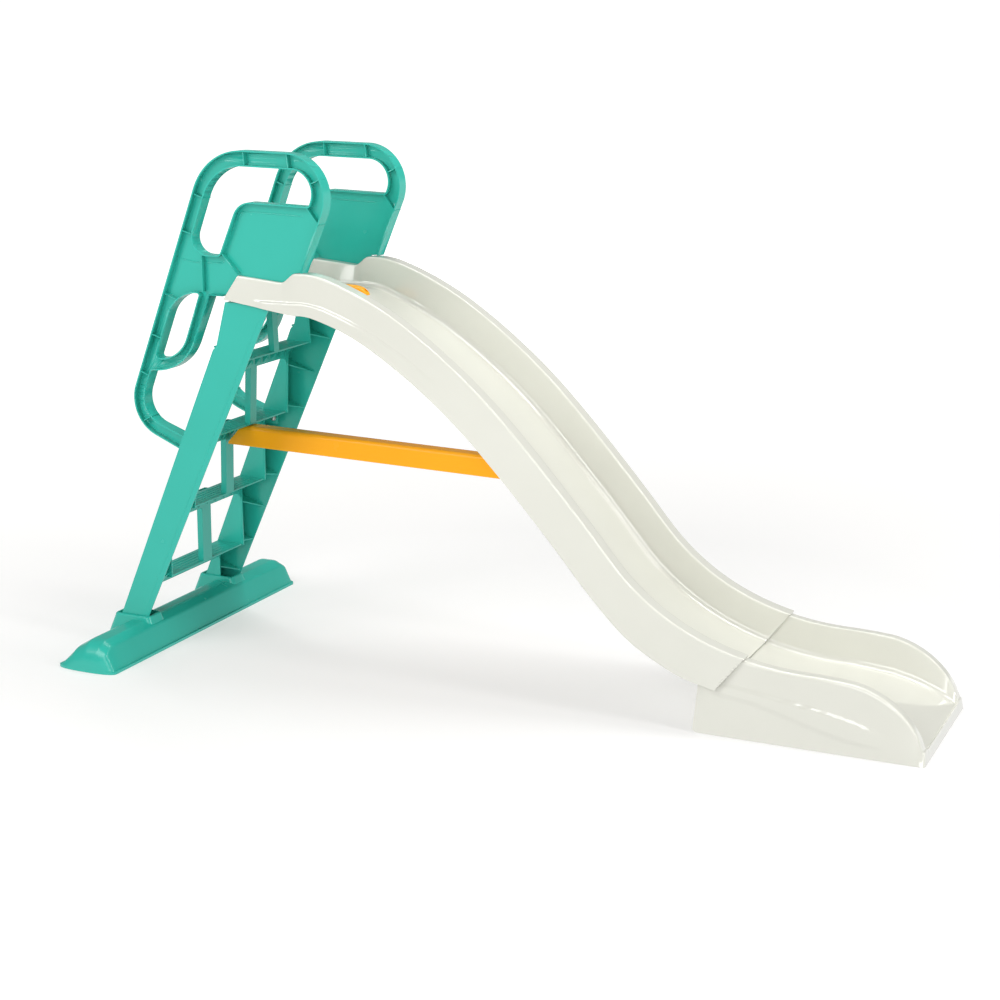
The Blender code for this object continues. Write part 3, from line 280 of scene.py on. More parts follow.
def to_mesh(source):
    """Replace a curve or modified object by its evaluated, welded mesh in world space."""
    bpy.context.view_layer.update()
    seen = source.evaluated_get(bpy.context.evaluated_depsgraph_get())
    mesh = bpy.data.meshes.new_from_object(seen)
    mesh.transform(source.matrix_world)
    name = source.name
    bpy.data.objects.remove(source)
    built = bmesh.new()
    built.from_mesh(mesh)
    bmesh.ops.remove_doubles(built, verts=built.verts, dist=WELD)
    bmesh.ops.dissolve_degenerate(built, edges=built.edges, dist=WELD)
    return from_bmesh(name, built)


def combine(target, tools, operation):
    """Join tools to the target, or cut them from it, in one exact Boolean."""
    group = bpy.data.collections.new("operands")
    SCENE.collection.children.link(group)
    for tool in tools:
        group.objects.link(tool)
    change = target.modifiers.new(operation.lower(), "BOOLEAN")
    change.operation = operation
    change.operand_type = "COLLECTION"
    change.collection = group
    change.solver = "EXACT"
    result = to_mesh(target)
    for tool in tools:
        bpy.data.objects.remove(tool)
    bpy.data.collections.remove(group)
    return result


def join(target, *tools):
    """Union of the target and the tools."""
    return combine(target, tools, "UNION")


def cut(target, *tools):
    """The target less the tools."""
    return combine(target, tools, "DIFFERENCE")


def loft(name, rings, capped=True):
    """Skin through rings of points; closed rings with capped ends make a solid."""
    built = bmesh.new()
    rows = [[built.verts.new(point) for point in ring] for ring in rings]
    count = len(rings[0])
    across = count if capped else count - 1
    for first, second in zip(rows, rows[1:]):
        for i in range(across):
            j = (i + 1) % count
            built.faces.new((first[i], first[j], second[j], second[i]))
    if capped:
        built.faces.new(rows[0])
        built.faces.new(reversed(rows[-1]))
    return from_bmesh(name, built)


def rounded(corners, fineness=0.005):
    """Outline through corners (x, z, radius), each corner turned into an arc of short chords."""
    points = []
    count = len(corners)
    for i, (x, z, radius) in enumerate(corners):
        here = Vector((x, z))
        if radius == 0:
            points.append((x, z))
            continue
        before = (Vector(corners[i - 1][:2]) - here).normalized()
        after = (Vector(corners[(i + 1) % count][:2]) - here).normalized()
        half = before.angle(after) / 2
        reach = radius / tan(half)
        centre = here + (before + after).normalized() * radius / sin(half)
        first = here + before * reach - centre
        last = here + after * reach - centre
        turn = first.angle_signed(last)
        steps = max(4, round(abs(turn) * radius / fineness))
        for k in range(steps + 1):
            step = Matrix.Rotation(-turn * k / steps, 2) @ first
            points.append(tuple(centre + step))
    return points


# ---- materials
def feed(tree, target, **sockets):
    """Set a shader node's named inputs; a tuple (node, output) makes a link."""
    for name, value in sockets.items():
        socket = target.inputs[name.replace("_", " ")]
        if isinstance(value, tuple) and isinstance(value[0], bpy.types.Node):
            tree.links.new(value[0].outputs[value[1]], socket)
        else:
            socket.default_value = value


def node(tree, kind, **sockets):
    """Add a shader node with these inputs."""
    made = tree.nodes.new(kind)
    feed(tree, made, **sockets)
    return made


def plain_material(name):
    """New material, its tree, its shader and a source of coordinates."""
    made = bpy.data.materials.new(name)
    made.use_nodes = True
    tree = made.node_tree
    return made, tree, tree.nodes["Principled BSDF"], tree.nodes.new("ShaderNodeTexCoord")


def noise(tree, place, scale, detail=2.0):
    """Noise in the piece's own space."""
    return node(tree, "ShaderNodeTexNoise", Vector=(place, "Object"), Scale=scale, Detail=detail)


def spanned(tree, source, low, high):
    """Map a noise's middle range on to low..high."""
    made = node(tree, "ShaderNodeMapRange", Value=(source, "Fac"), From_Min=0.15, From_Max=0.85,
                To_Min=low, To_Max=high)
    made.interpolation_type = "SMOOTHSTEP"
    return made


def finish_material(name, colour, dark, rough, peel, wave=0.0002, metallic=0.0, coat=0.0, shine=0.5):
    """Moulded or plated finish: mottled colour, uneven gloss and a fine skin over long waves."""
    made, tree, shader, place = plain_material(name)
    share = spanned(tree, noise(tree, place, 9.0, 3.0), 0.0, 1.0)
    mix = tree.nodes.new("ShaderNodeMix")
    mix.data_type = "RGBA"
    feed(tree, mix, A=(*dark, 1.0), B=(*colour, 1.0), Factor=(share, "Result"))
    patches = spanned(tree, noise(tree, place, 30.0, 4.0), *rough)
    scale, depth = peel
    skin, waves = noise(tree, place, scale), noise(tree, place, 14.0, 1.0)
    fine = node(tree, "ShaderNodeBump", Strength=0.35, Distance=depth, Height=(skin, "Fac"))
    long = node(tree, "ShaderNodeBump", Strength=0.5, Distance=wave, Height=(waves, "Fac"),
                Normal=(fine, "Normal"))
    feed(tree, shader, Base_Color=(mix, "Result"), Roughness=(patches, "Result"), Metallic=metallic,
         Coat_Weight=coat, Coat_Roughness=0.05, Specular_IOR_Level=shine, Normal=(long, "Normal"))
    return made


# Colour, its darker shade, roughness range, skin (scale and depth), and what else differs
FINISHES = {
    "slide_plastic": dict(colour=(0.720, 0.720, 0.645), dark=(0.700, 0.700, 0.625), rough=(0.10, 0.15),
                          peel=(420.0, 0.00006), wave=0.0005, coat=0.9),
    "teal_plastic": dict(colour=(0.026, 0.465, 0.375), dark=(0.024, 0.445, 0.355), rough=(0.22, 0.28),
                         peel=(900.0, 0.00006), wave=0.00005),
    "yellow_plastic": dict(colour=(1.000, 0.420, 0.012), dark=(0.980, 0.400, 0.010), rough=(0.22, 0.28),
                           peel=(800.0, 0.00005), wave=0.00005, shine=0.2),
    "zinc_steel": dict(colour=(0.660, 0.660, 0.640), dark=(0.560, 0.560, 0.545), rough=(0.25, 0.42),
                       peel=(1500.0, 0.00006), metallic=1.0),
    "seal_rubber": dict(colour=(0.026, 0.026, 0.026), dark=(0.018, 0.018, 0.018), rough=(0.55, 0.75),
                        peel=(1200.0, 0.00012)),
}
SLOTS = {name: finish_material(name, **finish) for name, finish in FINISHES.items()}


# ---- curves and stations
def inset(outline, distance):
    """Outline moved inwards by a distance; a negative one moves it outwards."""
    area = sum(a[0] * b[1] - b[0] * a[1] for a, b in zip(outline, outline[1:] + outline[:1]))
    side = 1.0 if area > 0 else -1.0
    moved = []
    count = len(outline)
    for i, here in enumerate(outline):
        a = (Vector(here) - Vector(outline[i - 1])).normalized()
        b = (Vector(outline[(i + 1) % count]) - Vector(here)).normalized()
        normal = Vector((-a.y - b.y, a.x + b.x)) * side
        normal.normalize()
        share = max(0.5, normal.dot(Vector((-a.y, a.x)) * side))
        moved.append(tuple(Vector(here) + normal * distance / share))
    return moved


def between(a, b, share):
    """Value at a share of the way from a to b."""
    return a + (b - a) * share


def spread(start, end, steps):
    """Evenly spaced values from start to end."""
    return [between(start, end, i / steps) for i in range(steps + 1)]


def smooth_step(low, high, value):
    """0 below low, 1 above high, and an even curve between them."""
    share = min(1.0, max(0.0, (value - low) / (high - low)))
    return share * share * (3 - 2 * share)


def crossing(low, high, before):
    """Value between low and high up to which a test holds, found by halving."""
    for _ in range(40):
        middle = (low + high) / 2
        if before(middle):
            low = middle
        else:
            high = middle
    return low


def rim_point(distance):
    """Point and heading on the rim chain, seen from the side."""
    x, z = RIM_START
    heading = radians(RIM_HEADING)
    for length, turn in RIM_RUNS:
        run = min(distance, length)
        turned = radians(turn) * run / length
        chord = run * (1 - turned * turned / 24)
        x += chord * cos(heading + turned / 2)
        z += chord * sin(heading + turned / 2)
        heading += turned
        distance -= run
        if distance <= 0:
            break
    return Vector((x, z)), heading


def rim_distance(x):
    """Length along the rim chain at which it passes a given x."""
    whole = sum(length for length, _ in RIM_RUNS)
    return crossing(0.0, whole, lambda distance: rim_point(distance)[0].x < x)


def hem_depth(x):
    """Skirt depth below the rim, read between the stated places."""
    for (x0, depth0), (x1, depth1) in zip(HEM_DEPTHS, HEM_DEPTHS[1:]):
        if x <= x1:
            return between(depth0, depth1, smooth_step(x0, x1, x))
    return HEM_DEPTHS[-1][1]


def below_rim(x, depth, lean=0.0):
    """Point at a depth square to the rim, taken a little further back along it."""
    point, heading = rim_point(rim_distance(x) - lean)
    return point + Vector((sin(heading), -cos(heading))) * depth


def floor_depth(x):
    """Floor below the rim: a little less over the crest, where it meets the level entry."""
    return FLOOR_DEPTH - CREST_RISE * (1 - smooth_step(RIM_START[0], CREST_END, x))


def run_station(x, drop=0.0):
    """Rim, floor and hem points where the rim passes x, all moved down by drop."""
    lean = SEAM_LEAN * min(1.0, max(0.0, (x - LEAN_START) / (SEAM_X - LEAN_START)))
    floor = below_rim(x, floor_depth(x) + drop, lean * FLOOR_LEAN)
    floor.y = min(floor.y, ENTRY_FLOOR)
    return below_rim(x, drop), floor, below_rim(x, hem_depth(x), lean)


def entry_stations():
    """Level entry with the low shelf on which the handrails stand, then the step up."""
    hem_start, hem_end = (Vector(place) for place in ENTRY_HEM)
    first, last = ENTRY_RIM[0][0], ENTRY_RIM[-1][0]
    stations = []
    for x, z in ENTRY_RIM:
        share = (x - first) / (last - first)
        floor = Vector((between(*ENTRY_FLOOR_X, share), ENTRY_FLOOR))
        stations.append((Vector((x, z)), floor, hem_start.lerp(hem_end, share)))
    return stations


def floor_frame(x):
    """Point on the floor's underside where the rim passes x, and the floor's upward normal."""
    _, heading = rim_point(rim_distance(x))
    normal = Vector((-sin(heading), 0.0, cos(heading)))
    point = below_rim(x, FLOOR_DEPTH + SHELL)
    return Vector((point.x, 0.0, point.y)), normal


def on_floor(x, y, height):
    """Point a height above the floor's underside, square to it."""
    point, normal = floor_frame(x)
    return point + Vector((0.0, y, 0.0)) + normal * height


def exit_floor(x, rim_height):
    """Floor height near the exit: level with the run, then bending down to the lip."""
    level = rim_height - FLOOR_DEPTH - EXIT_DROP
    if x <= EXIT_START:
        return level
    share = min(1.0, (x - EXIT_START) / (LENGTH - LIP_BAND - EXIT_START))
    return between(level, LIP_HEIGHT, share ** EXIT_BEND)


def lower_stations():
    """Tucked end under the upper section, level run-out, and the oval down to the exit lip."""
    drop = SHELL + LOWER_GAP
    stations = []
    toe = [x for x in spread(TOE_START, SEAM_X, TOE_STEPS) if x > LOWER_REAR + LOWER_TUCK]
    for x in toe + spread(*RUN_OUT, 5):
        rim, floor, _ = run_station(x, drop)
        hem_x = between(LOWER_REAR, EXIT_START, (x - toe[0]) / (EXIT_START - toe[0]))
        stations.append((rim, floor, Vector((hem_x, BELOW_GROUND))))
    top = rim_point(rim_distance(EXIT_START))[0].y - drop
    reach = LENGTH - WALL_STOP - EXIT_START
    for k in range(9):
        turn = radians(EXIT_SWEEP * k / 8)
        x = EXIT_START + reach * sin(turn) ** (2 / EXIT_POWER)
        z = top * cos(turn) ** (2 / EXIT_POWER)
        floor = exit_floor(x, top)
        rim = Vector((x, max(z, floor + LEAST_WALL)))
        stations.append((rim, Vector((x, floor)), Vector((x, BELOW_GROUND))))
    front = Vector((LENGTH + LIP_REACH, BELOW_GROUND))
    stations.append((front, front.copy(), front.copy()))
    return stations


def climb_x(z):
    """Rear face of the rails at a height."""
    return CLIMB_LINE[0] + CLIMB_LINE[1] * z


def front_x(z):
    """Front edge of the rails at a height."""
    return FRONT_LINE[0] + FRONT_LINE[1] * z


def rib(start, end, y_low, y_high):
    """Thin rib between two places, kept clear of the flanges' outer faces."""
    a, b = Vector(start), Vector(end)
    along = (b - a).normalized()
    side = Vector((-along.y, along.x)) * RIB_HALF
    a += along * RIB_SHORT
    b -= along * RIB_SHORT
    return slab([tuple(a - side), tuple(b - side), tuple(b + side), tuple(a + side)], y_low, y_high)


def rounding(distance, run, power):
    """Share left of a size at a distance from the tip of a nose."""
    share = max(0.0, 1.0 - distance / run)
    return (1.0 - share ** power) ** (1.0 / power)


def foot_rings(profile, shrink):
    """Rings of a hull along Y, both ends rounding off to a nose."""
    half = FOOT_HALF - shrink
    outline = rounded(list(profile), FOOT_CHORD)
    places = [0.0]
    turns = [radians(angle) for angle in spread(0, 86, 20)]
    places += [half - NOSE_HEIGHT_RUN * (1 - sin(t) ** (2 / NOSE_POWER)) for t in turns]
    rings = []
    for y in [-y for y in reversed(places)] + places[1:]:
        tall = rounding(half - abs(y), NOSE_HEIGHT_RUN, NOSE_POWER)
        wide = rounding(half - abs(y), NOSE_WIDTH_RUN, NOSE_POWER)
        rings.append([(FOOT_MIDDLE + (x - FOOT_MIDDLE) * wide, y, min(z, max(FOOT_RIM, z * tall)))
                      for x, z in outline])
    return rings


def collar(side):
    """Drafted block round a rail's lower end, its top edge rounded over."""
    z, x_low, x_high, y_low, y_high = COLLAR_RINGS[-1]
    levels = list(COLLAR_RINGS[:-1])
    for k in range(7):
        turn = radians(15.0 * k)
        less = COLLAR_EDGE * (1 - cos(turn))
        levels.append((z - COLLAR_EDGE * (1 - sin(turn)), x_low + less, x_high - less,
                       y_low + less, y_high - less))
    rings = []
    for z, x_low, x_high, y_low, y_high in levels:
        corners = [(x_low, y_low), (x_high, y_low), (x_high, y_high), (x_low, y_high)]
        ring = rounded([(x, y, COLLAR_CORNER) for x, y in corners], FOOT_CHORD)
        rings.append([(x, side * y, z) for x, y in ring])
    return loft("collar", rings)


def socket(side):
    """Cutter for a rail's socket: a close fit below, opening out at the collar's top."""
    top = COLLAR_TOP + 0.004
    rear, front = SOCKET_MOUTH
    outline = [(climb_x(SOCKET_FLOOR) - SOCKET_CLEAR, SOCKET_FLOOR),
               (front_x(SOCKET_FLOOR) + SOCKET_CLEAR, SOCKET_FLOOR),
               (front_x(SOCKET_WAIST) + SOCKET_CLEAR, SOCKET_WAIST), (front, top), (rear, top),
               (climb_x(SOCKET_WAIST) - SOCKET_CLEAR, SOCKET_WAIST)]
    low, high = sorted(side * width for width in SOCKET_WIDTHS)
    return slab(outline, low, high)


def brace_top(x):
    """Height of the brace's top."""
    return BRACE_TOP[1] + BRACE_SLOPE * (x - BRACE_TOP[0])


def brace_end_x(z_of, reach):
    """X at which a line z_of(x) meets the brace's slide end, a reach below the slide's floor."""
    point, normal = floor_frame(BRACE_X)
    base = point - normal * reach
    return crossing(0.9, 1.1, lambda x: (x - base.x) * normal.x + (z_of(x) - base.z) * normal.z < 0)


def soften(source, chosen, width, steps):
    """Bevel the edges that a test picks by their two ends."""
    built = bmesh.new()
    built.from_mesh(source.data)
    edges = [edge for edge in built.edges if chosen(edge.verts[0].co, edge.verts[1].co)]
    bmesh.ops.bevel(built, geom=edges, offset=width, segments=steps, profile=0.5, affect="EDGES")
    name = source.name
    bpy.data.objects.remove(source)
    return from_bmesh(name, built)


def brace_body(wall):
    """Solid of the brace, or of its hollow when a wall is given."""
    def top(x):
        return brace_top(x) - wall

    def bottom(x):
        return brace_top(x) - BRACE_HEIGHT - (0.01 if wall else 0.0)

    reach = BRACE_BOSS + GAP + wall
    end_top, end_bottom = brace_end_x(top, reach), brace_end_x(bottom, reach)
    tip_x, tip_z = BRACE_TIP
    outline = [(tip_x + wall, bottom(tip_x)), (end_bottom, bottom(end_bottom)),
               (end_top, top(end_top)), (BRACE_SHOULDER + wall * 0.4, top(BRACE_SHOULDER)),
               (tip_x + wall, tip_z - wall * 0.4)]
    half = BRACE_HALF - wall
    body = slab(outline, -half, half)

    def upper(a, b):
        return abs(a.y - b.y) < 0.001 and min(a.z - bottom(a.x), b.z - bottom(b.x)) > 0.02 \
            and abs(a.x - b.x) > 0.3
    return soften(body, upper, BRACE_EDGE - wall * 0.8, 8)


def turned(name, profile, start, direction, sides):
    """Closed turned solid: profile of (radius, distance along the axis), open at the axis."""
    built = bmesh.new()
    points = [built.verts.new((radius, 0.0, along)) for radius, along in profile]
    for a, b in zip(points, points[1:]):
        built.edges.new((a, b))
    made = raw_piece(name, built)
    turn = made.modifiers.new("turn", "SCREW")
    turn.axis = "Z"
    turn.steps = turn.render_steps = sides
    turn.use_merge_vertices = True
    turn.merge_threshold = WELD
    made.matrix_world = facing(start, Vector(direction))
    return to_mesh(made)


def dome():
    """Long rounded cap: superelliptic rings that draw in towards the top."""
    side_power, height_power, plan_power = DOME_POWERS
    rings = []
    for k in range(15):
        turn = radians(min(87.0, 6.4 * k))
        wide = cos(turn) ** side_power
        z = ENTRY_FLOOR + SEAL + 2 * GAP + NOZZLE_HEIGHT * sin(turn) ** height_power
        ring = []
        for i in range(72):
            t = tau * i / 72
            across = copysign(abs(cos(t)) ** plan_power, cos(t))
            beside = copysign(abs(sin(t)) ** plan_power, sin(t))
            lean = -DOME_LEAN * sin(turn)
            ring.append((NOZZLE[0] - NOZZLE_SHIFT + lean + NOZZLE_LENGTH / 2 * wide * across,
                         NOZZLE_WIDTH / 2 * wide * beside, z))
        rings.append(ring)
    return loft("dome", rings)


# ---- shaping
def through(points, steps):
    """Catmull-Rom curve through vectors, with this many chords in each gap."""
    ends = [points[0] * 2 - points[1], *points, points[-1] * 2 - points[-2]]
    made = []
    for a, b, c, d in zip(ends, ends[1:], ends[2:], ends[3:]):
        for k in range(steps):
            t = k / steps
            made.append(0.5 * (2 * b + (c - a) * t + (2 * a - 5 * b + 4 * c - d) * t * t
                               + (3 * b - a - 3 * c + d) * t ** 3))
    return made + [points[-1].copy()]


def finer(stations, steps):
    """Stations between the given ones: rim, floor and hem each follow a smooth curve."""
    return list(zip(*(through([station[i] for station in stations], steps) for i in range(3))))


def soft_edges(piece, width, degrees):
    """Round the edges sharper than an angle and weigh the normals; the last modifier is returned."""
    bevel = piece.modifiers.new("edge", "BEVEL")
    bevel.width = width
    bevel.segments = 2
    bevel.limit_method = "ANGLE"
    bevel.angle_limit = radians(degrees)
    return piece.modifiers.new("shade", "WEIGHTED_NORMAL")


def show(source, name, slot, stands_for=(), edge=0.0, sharp=35.0, body=BODY):
    """Put a finished piece in the frame with its finish, softened edges and its body."""
    for home in list(source.users_collection):
        home.objects.unlink(source)
    SCENE.collection.objects.link(source)
    source.name = name
    mesh = source.data
    mesh.name = name
    mesh.transform(Matrix.Translation((-LENGTH / 2, 0.0, 0.0)))
    mesh.materials.clear()
    mesh.materials.append(SLOTS[slot])
    mesh.shade_smooth()
    if edge:
        soft_edges(source, edge, sharp).keep_sharp = True
    else:
        mesh.set_sharp_from_angle(angle=radians(sharp))
    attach(source, body)
    if stands_for:
        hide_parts(*stands_for)
    return source


def ribbon(points, normal, width, height):
    """Low rounded bead along points, standing on a surface with this normal."""
    rings = []
    for i, point in enumerate(points):
        along = (points[min(i + 1, len(points) - 1)] - points[max(i - 1, 0)]).normalized()
        side = along.cross(normal).normalized()
        fade = min(1.0, (0.3 + min(i, len(points) - 1 - i)) / 2)
        rings.append([point + side * width / 2 * cos(t) + normal * height * fade * sin(t)
                      for t in (pi * k / 6 for k in range(7))]
                     + [point - side * width / 2 - normal * 0.0004,
                        point + side * width / 2 - normal * 0.0004])
    return loft("ribbon", rings)


def merged(name, sources):
    """Several meshes as one object, without a Boolean."""
    built = bmesh.new()
    for source in sources:
        built.from_mesh(source.data)
        bpy.data.objects.remove(source)
    return raw_piece(name, built)


# ---- slide shells
WALL_FOOT = 0.1305  # half width where the wall would meet the floor
WALL_TOP = 0.1420
FILLET = 0.016  # between wall and floor
SHOULDER = 0.0042  # rounding of the wall's upper edges
LOWER_SHOULDER = 0.009  # the lower section's outer one
FILLET_SHARE = 0.45  # of the wall's height, which the fillet never passes
SHOULDER_SHARE = 0.35
FINER = 4  # steps between two stations
FLOOR_COLUMNS = 8  # columns of points on half of the flat floor
FLOOR_FLAT = 0.86  # share of the floor's half width that they cover
CORNER_COLUMNS = 9  # and in each rounded corner
SKIRT_COLUMNS = 34
BOSS_RADIUS = 0.006
TONGUE_SLOT = ((0.3300, 0.8120), (0.4815, 0.9000))  # (x, z) corners of the handrails' slots
TONGUE_HALF = 0.0021
HEEL = 0.0110  # rounding of the lower section's rear corners at the ground
SEAM_WELL = 0.0066  # radius of the lower section's holes round the upper one's bosses

# A low step stands proud along each skirt, fading in and out along X
UPPER_STEP = 0.0030
UPPER_STEP_EDGE = (0.0595, 0.0620)  # its upper edge, below the rim
UPPER_STEP_FADES = ((0.425, 0.440), (0.680, 0.860))
LOWER_BAND = 0.0022
LOWER_BAND_EDGE = 0.0015  # half the width of the band's sloping edges
LOWER_BAND_FADES = ((1.440, 1.455), (1.740, 1.800))
LOW_CREASE = ((1.440, 0.086), (1.780, 0.024))  # (x, height) of its ends
HIGH_CREASE = (1.471, 0.298, 0.105, 0.036, 0.014)  # start and run along X, height, its two falls


def section_line(to_floor, to_hem, shift, shoulder):
    """Half of the shell's outer line as (half width, depth), from the middle out to the hem.

    The count that comes with it is the number of points on the trough's side of the rim.
    """
    rim_inner, rim_outer = WALL_TOP + shift, RIM_HALF_WIDTH - shift
    foot, hem = WALL_FOOT + shift, HEM_HALF_WIDTH - shift
    fillet = min(FILLET, FILLET_SHARE * to_floor)
    lip = min(SHOULDER, SHOULDER_SHARE * to_floor)
    outer = min(shoulder, SHOULDER_SHARE * to_hem)
    corners = [(0.0, to_floor, 0), (foot, to_floor, fillet), (rim_inner, 0.0, lip),
               (rim_outer, 0.0, outer), (hem, to_hem, 0)]
    line = []
    for i, (y, depth, radius) in enumerate(corners):
        here = Vector((y, depth))
        if radius == 0:
            line.append(here)
            continue
        before = (Vector(corners[i - 1][:2]) - here).normalized()
        after = (Vector(corners[i + 1][:2]) - here).normalized()
        half = before.angle(after) / 2
        reach = radius / tan(half)
        a, b = here + before * reach, here + after * reach
        for k in range(CORNER_COLUMNS):
            t = k / (CORNER_COLUMNS - 1)
            line.append(a.lerp(here, t).lerp(here.lerp(b, t), t))
    floor = [Vector((foot * FLOOR_FLAT * k / FLOOR_COLUMNS, to_floor)) for k in range(FLOOR_COLUMNS)]
    split = len(line) - 1
    skirt = [line[split - 1].lerp(line[split], (k + 1) / SKIRT_COLUMNS) for k in range(SKIRT_COLUMNS)]
    return floor + line[1:split] + skirt, FLOOR_COLUMNS + 2 * CORNER_COLUMNS


def section(station, shift, relief, shoulder):
    """Full row of shell points across the slide at one station."""
    rim, floor, hem = station
    to_floor, to_hem = max(1e-5, (floor - rim).length), max(1e-5, (hem - rim).length)
    line, split = section_line(to_floor, to_hem, shift, shoulder)
    rows = []
    for i, (y, depth) in enumerate(line):
        far, reach = (floor, to_floor) if i < split else (hem, to_hem)
        point = rim.lerp(far, depth / reach)
        proud = relief(point.x, point.y) if relief and i >= split else 0.0
        rows.append((point.x, y + proud, point.y))
    return [(x, -y, z) for x, y, z in reversed(rows[1:])] + rows


def shell(stations, shift, relief, shoulder):
    """Open surface through the stations, thickened inwards."""
    rows = [section(station, shift, relief, shoulder) for station in stations]
    surface = loft("shell", rows, capped=False)
    middle = min(surface.data.polygons, key=lambda face: abs(face.center.y))
    if middle.normal.z < 0:
        surface.data.flip_normals()
    wall = surface.modifiers.new("wall", "SOLIDIFY")
    wall.thickness = SHELL
    wall.offset = -1.0
    wall.use_even_offset = True
    return to_mesh(surface)


def upper_relief(x, z):
    """A low step along the skirt above its hem, from the entry to the crest."""
    point = rim_point(rim_distance(max(x, RIM_START[0])))[0]
    fade_in, fade_out = UPPER_STEP_FADES
    reach = smooth_step(*fade_in, x) * (1 - smooth_step(*fade_out, x))
    return UPPER_STEP * smooth_step(*UPPER_STEP_EDGE, point.y - z) * reach


def upper_slide():
    """Entry and run, with the bosses under the floor, the handrails' slots and the holes."""
    stations = entry_stations()
    crest = [x for run in CREST_RUNS for x in spread(*run)]
    toe = spread(TOE_START, SEAM_X, TOE_STEPS)
    stations = finer(stations + [run_station(x) for x in crest + toe], FINER)
    body = shell(stations, 0.0, upper_relief, SHOULDER)
    brace_up = floor_frame(BRACE_X)[1]
    bosses = [rod(on_floor(BRACE_X, y, 0.001), -brace_up, BOSS_RADIUS, BRACE_BOSS + 0.001, 32)
              for y in BRACE_SCREWS]
    seam_up = floor_frame(SEAM_SCREW_X)[1]
    bosses += [rod(on_floor(SEAM_SCREW_X, y, 0.001), -seam_up, BOSS_RADIUS, SEAM_BOSS + 0.001, 32)
               for y in SEAM_SCREWS]
    bosses.append(rod((NOZZLE[0], 0, ENTRY_FLOOR - 0.001), (0, 0, -1), NOZZLE_SEAT,
                      NOZZLE_BOSS - 0.001, 48))
    (rear, low), (front, high) = TONGUE_SLOT
    slots = [box((rear, side * RAIL_PLANE - TONGUE_HALF, low),
                 (front, side * RAIL_PLANE + TONGUE_HALF, high)) for side in (-1, 1)]
    holes = [rod((TOP_BOLT_X, y, ENTRY_FLOOR - 0.02), (0, 0, 1), BOLT_HOLE, 0.04, 32)
             for y in TOP_BOLTS]
    holes.append(rod((NOZZLE[0], 0, ENTRY_FLOOR - 0.02), (0, 0, 1), SPIGOT + 0.0005, 0.04, 48))
    body = cut(join(body, *bosses), *slots, *holes)
    return show(body, "slide_upper_shell", "slide_plastic", ["slide_upper"], edge=0.0008, sharp=50.0)


def crease_low(x):
    """Height of the lower crease pressed into the lower section's skirt."""
    (start, high), (end, low) = LOW_CREASE
    return between(high, low, smooth_step(start, end, x))


def crease_high(x):
    """Height of the upper crease, which runs down ever faster towards the exit."""
    start, run, height, fall, last_fall = HIGH_CREASE
    share = (x - start) / run
    return height - fall * share - last_fall * share ** 6


def lower_relief(x, z):
    """The band between the two creases stands a little proud of the skirt."""
    low, high = crease_low(x), crease_high(x)
    above = smooth_step(low - LOWER_BAND_EDGE, low + LOWER_BAND_EDGE, z)
    under = 1 - smooth_step(high - LOWER_BAND_EDGE, high + LOWER_BAND_EDGE, z)
    fade_in, fade_out = LOWER_BAND_FADES
    return LOWER_BAND * above * under * smooth_step(*fade_in, x) * (1 - smooth_step(*fade_out, x))


def heel():
    """Cutter that rounds the skirt's lower rear corner."""
    x, z = LOWER_REAR + HEEL, HEEL
    turns = [radians(180 + 90 * k / 8) for k in range(9)]
    bend = [(x + HEEL * cos(t), z + HEEL * sin(t)) for t in turns]
    return slab([(x - 0.03, z), *bend, (x, -0.01), (x - 0.03, -0.01)], -0.3, 0.3)


def lower_slide():
    """Run-out and exit, cut level with the ground, with wells for the seam's bosses."""
    body = shell(finer(lower_stations(), FINER), SHELL + LOWER_GAP, lower_relief, LOWER_SHOULDER)
    up = floor_frame(SEAM_SCREW_X)[1]
    holes = [rod(on_floor(SEAM_SCREW_X, y, -0.02), up, SEAM_WELL, 0.03, 32) for y in SEAM_SCREWS]
    body = cut(body, box((1.3, -0.3, -0.1), (2.0, 0.3, 0.0)), heel(), *holes)
    return show(body, "slide_lower_shell", "slide_plastic", ["slide_lower"], edge=0.0012, sharp=50.0)


# ---- handrails
# Low moulded lines on the panels: under the upper opening's lower edges
PANEL_LINES = (((0.3770, 0.9730), (0.3830, 0.9860), (0.3950, 0.9915), (0.4600, 0.9900),
                (0.5350, 0.9870)),
               ((0.2300, 0.8865), (0.2550, 0.8815), (0.2900, 0.8810), (0.3250, 0.8810),
                (0.3370, 0.8860)))
PANEL_BEAD = (0.0030, 0.0016)  # width and height


def handrail_shape():
    """Flat I-section: a web with two openings, flanges along every edge, and ribs between them."""
    half_web, half = PLASTIC / 2, FLANGE / 2
    outline = rounded(RAIL_LOOP + RAIL_TONGUE)
    openings = [rounded(RAIL_OPENING), rounded(RAIL_SLOT)]
    tongue = len(RAIL_TONGUE)
    web = inset(outline, half_web)[:-tongue] + outline[-tongue:]
    body = slab(web, -half_web, half_web, [inset(line, -half_web) for line in openings])
    parts = [slab(outline[:-tongue] + inset(outline, PLASTIC)[:-tongue][::-1], -half, half)]
    parts += [slab(inset(line, -PLASTIC), -half, half, [line]) for line in openings]
    parts += [rib(a, b, RIB_LOW - half, half - RIB_LOW) for a, b in RAIL_RIBS]
    parts.append(slab(TAIL, -half_web, half_web))
    body = join(body, *parts)
    holes = [rod((x, -0.01, z), (0, 1, 0), CLEAR_HOLE, 0.02, 24)
             for x, z in TONGUE_BOLTS + (TAIL_BOLT,)]
    return cut(body, *holes)


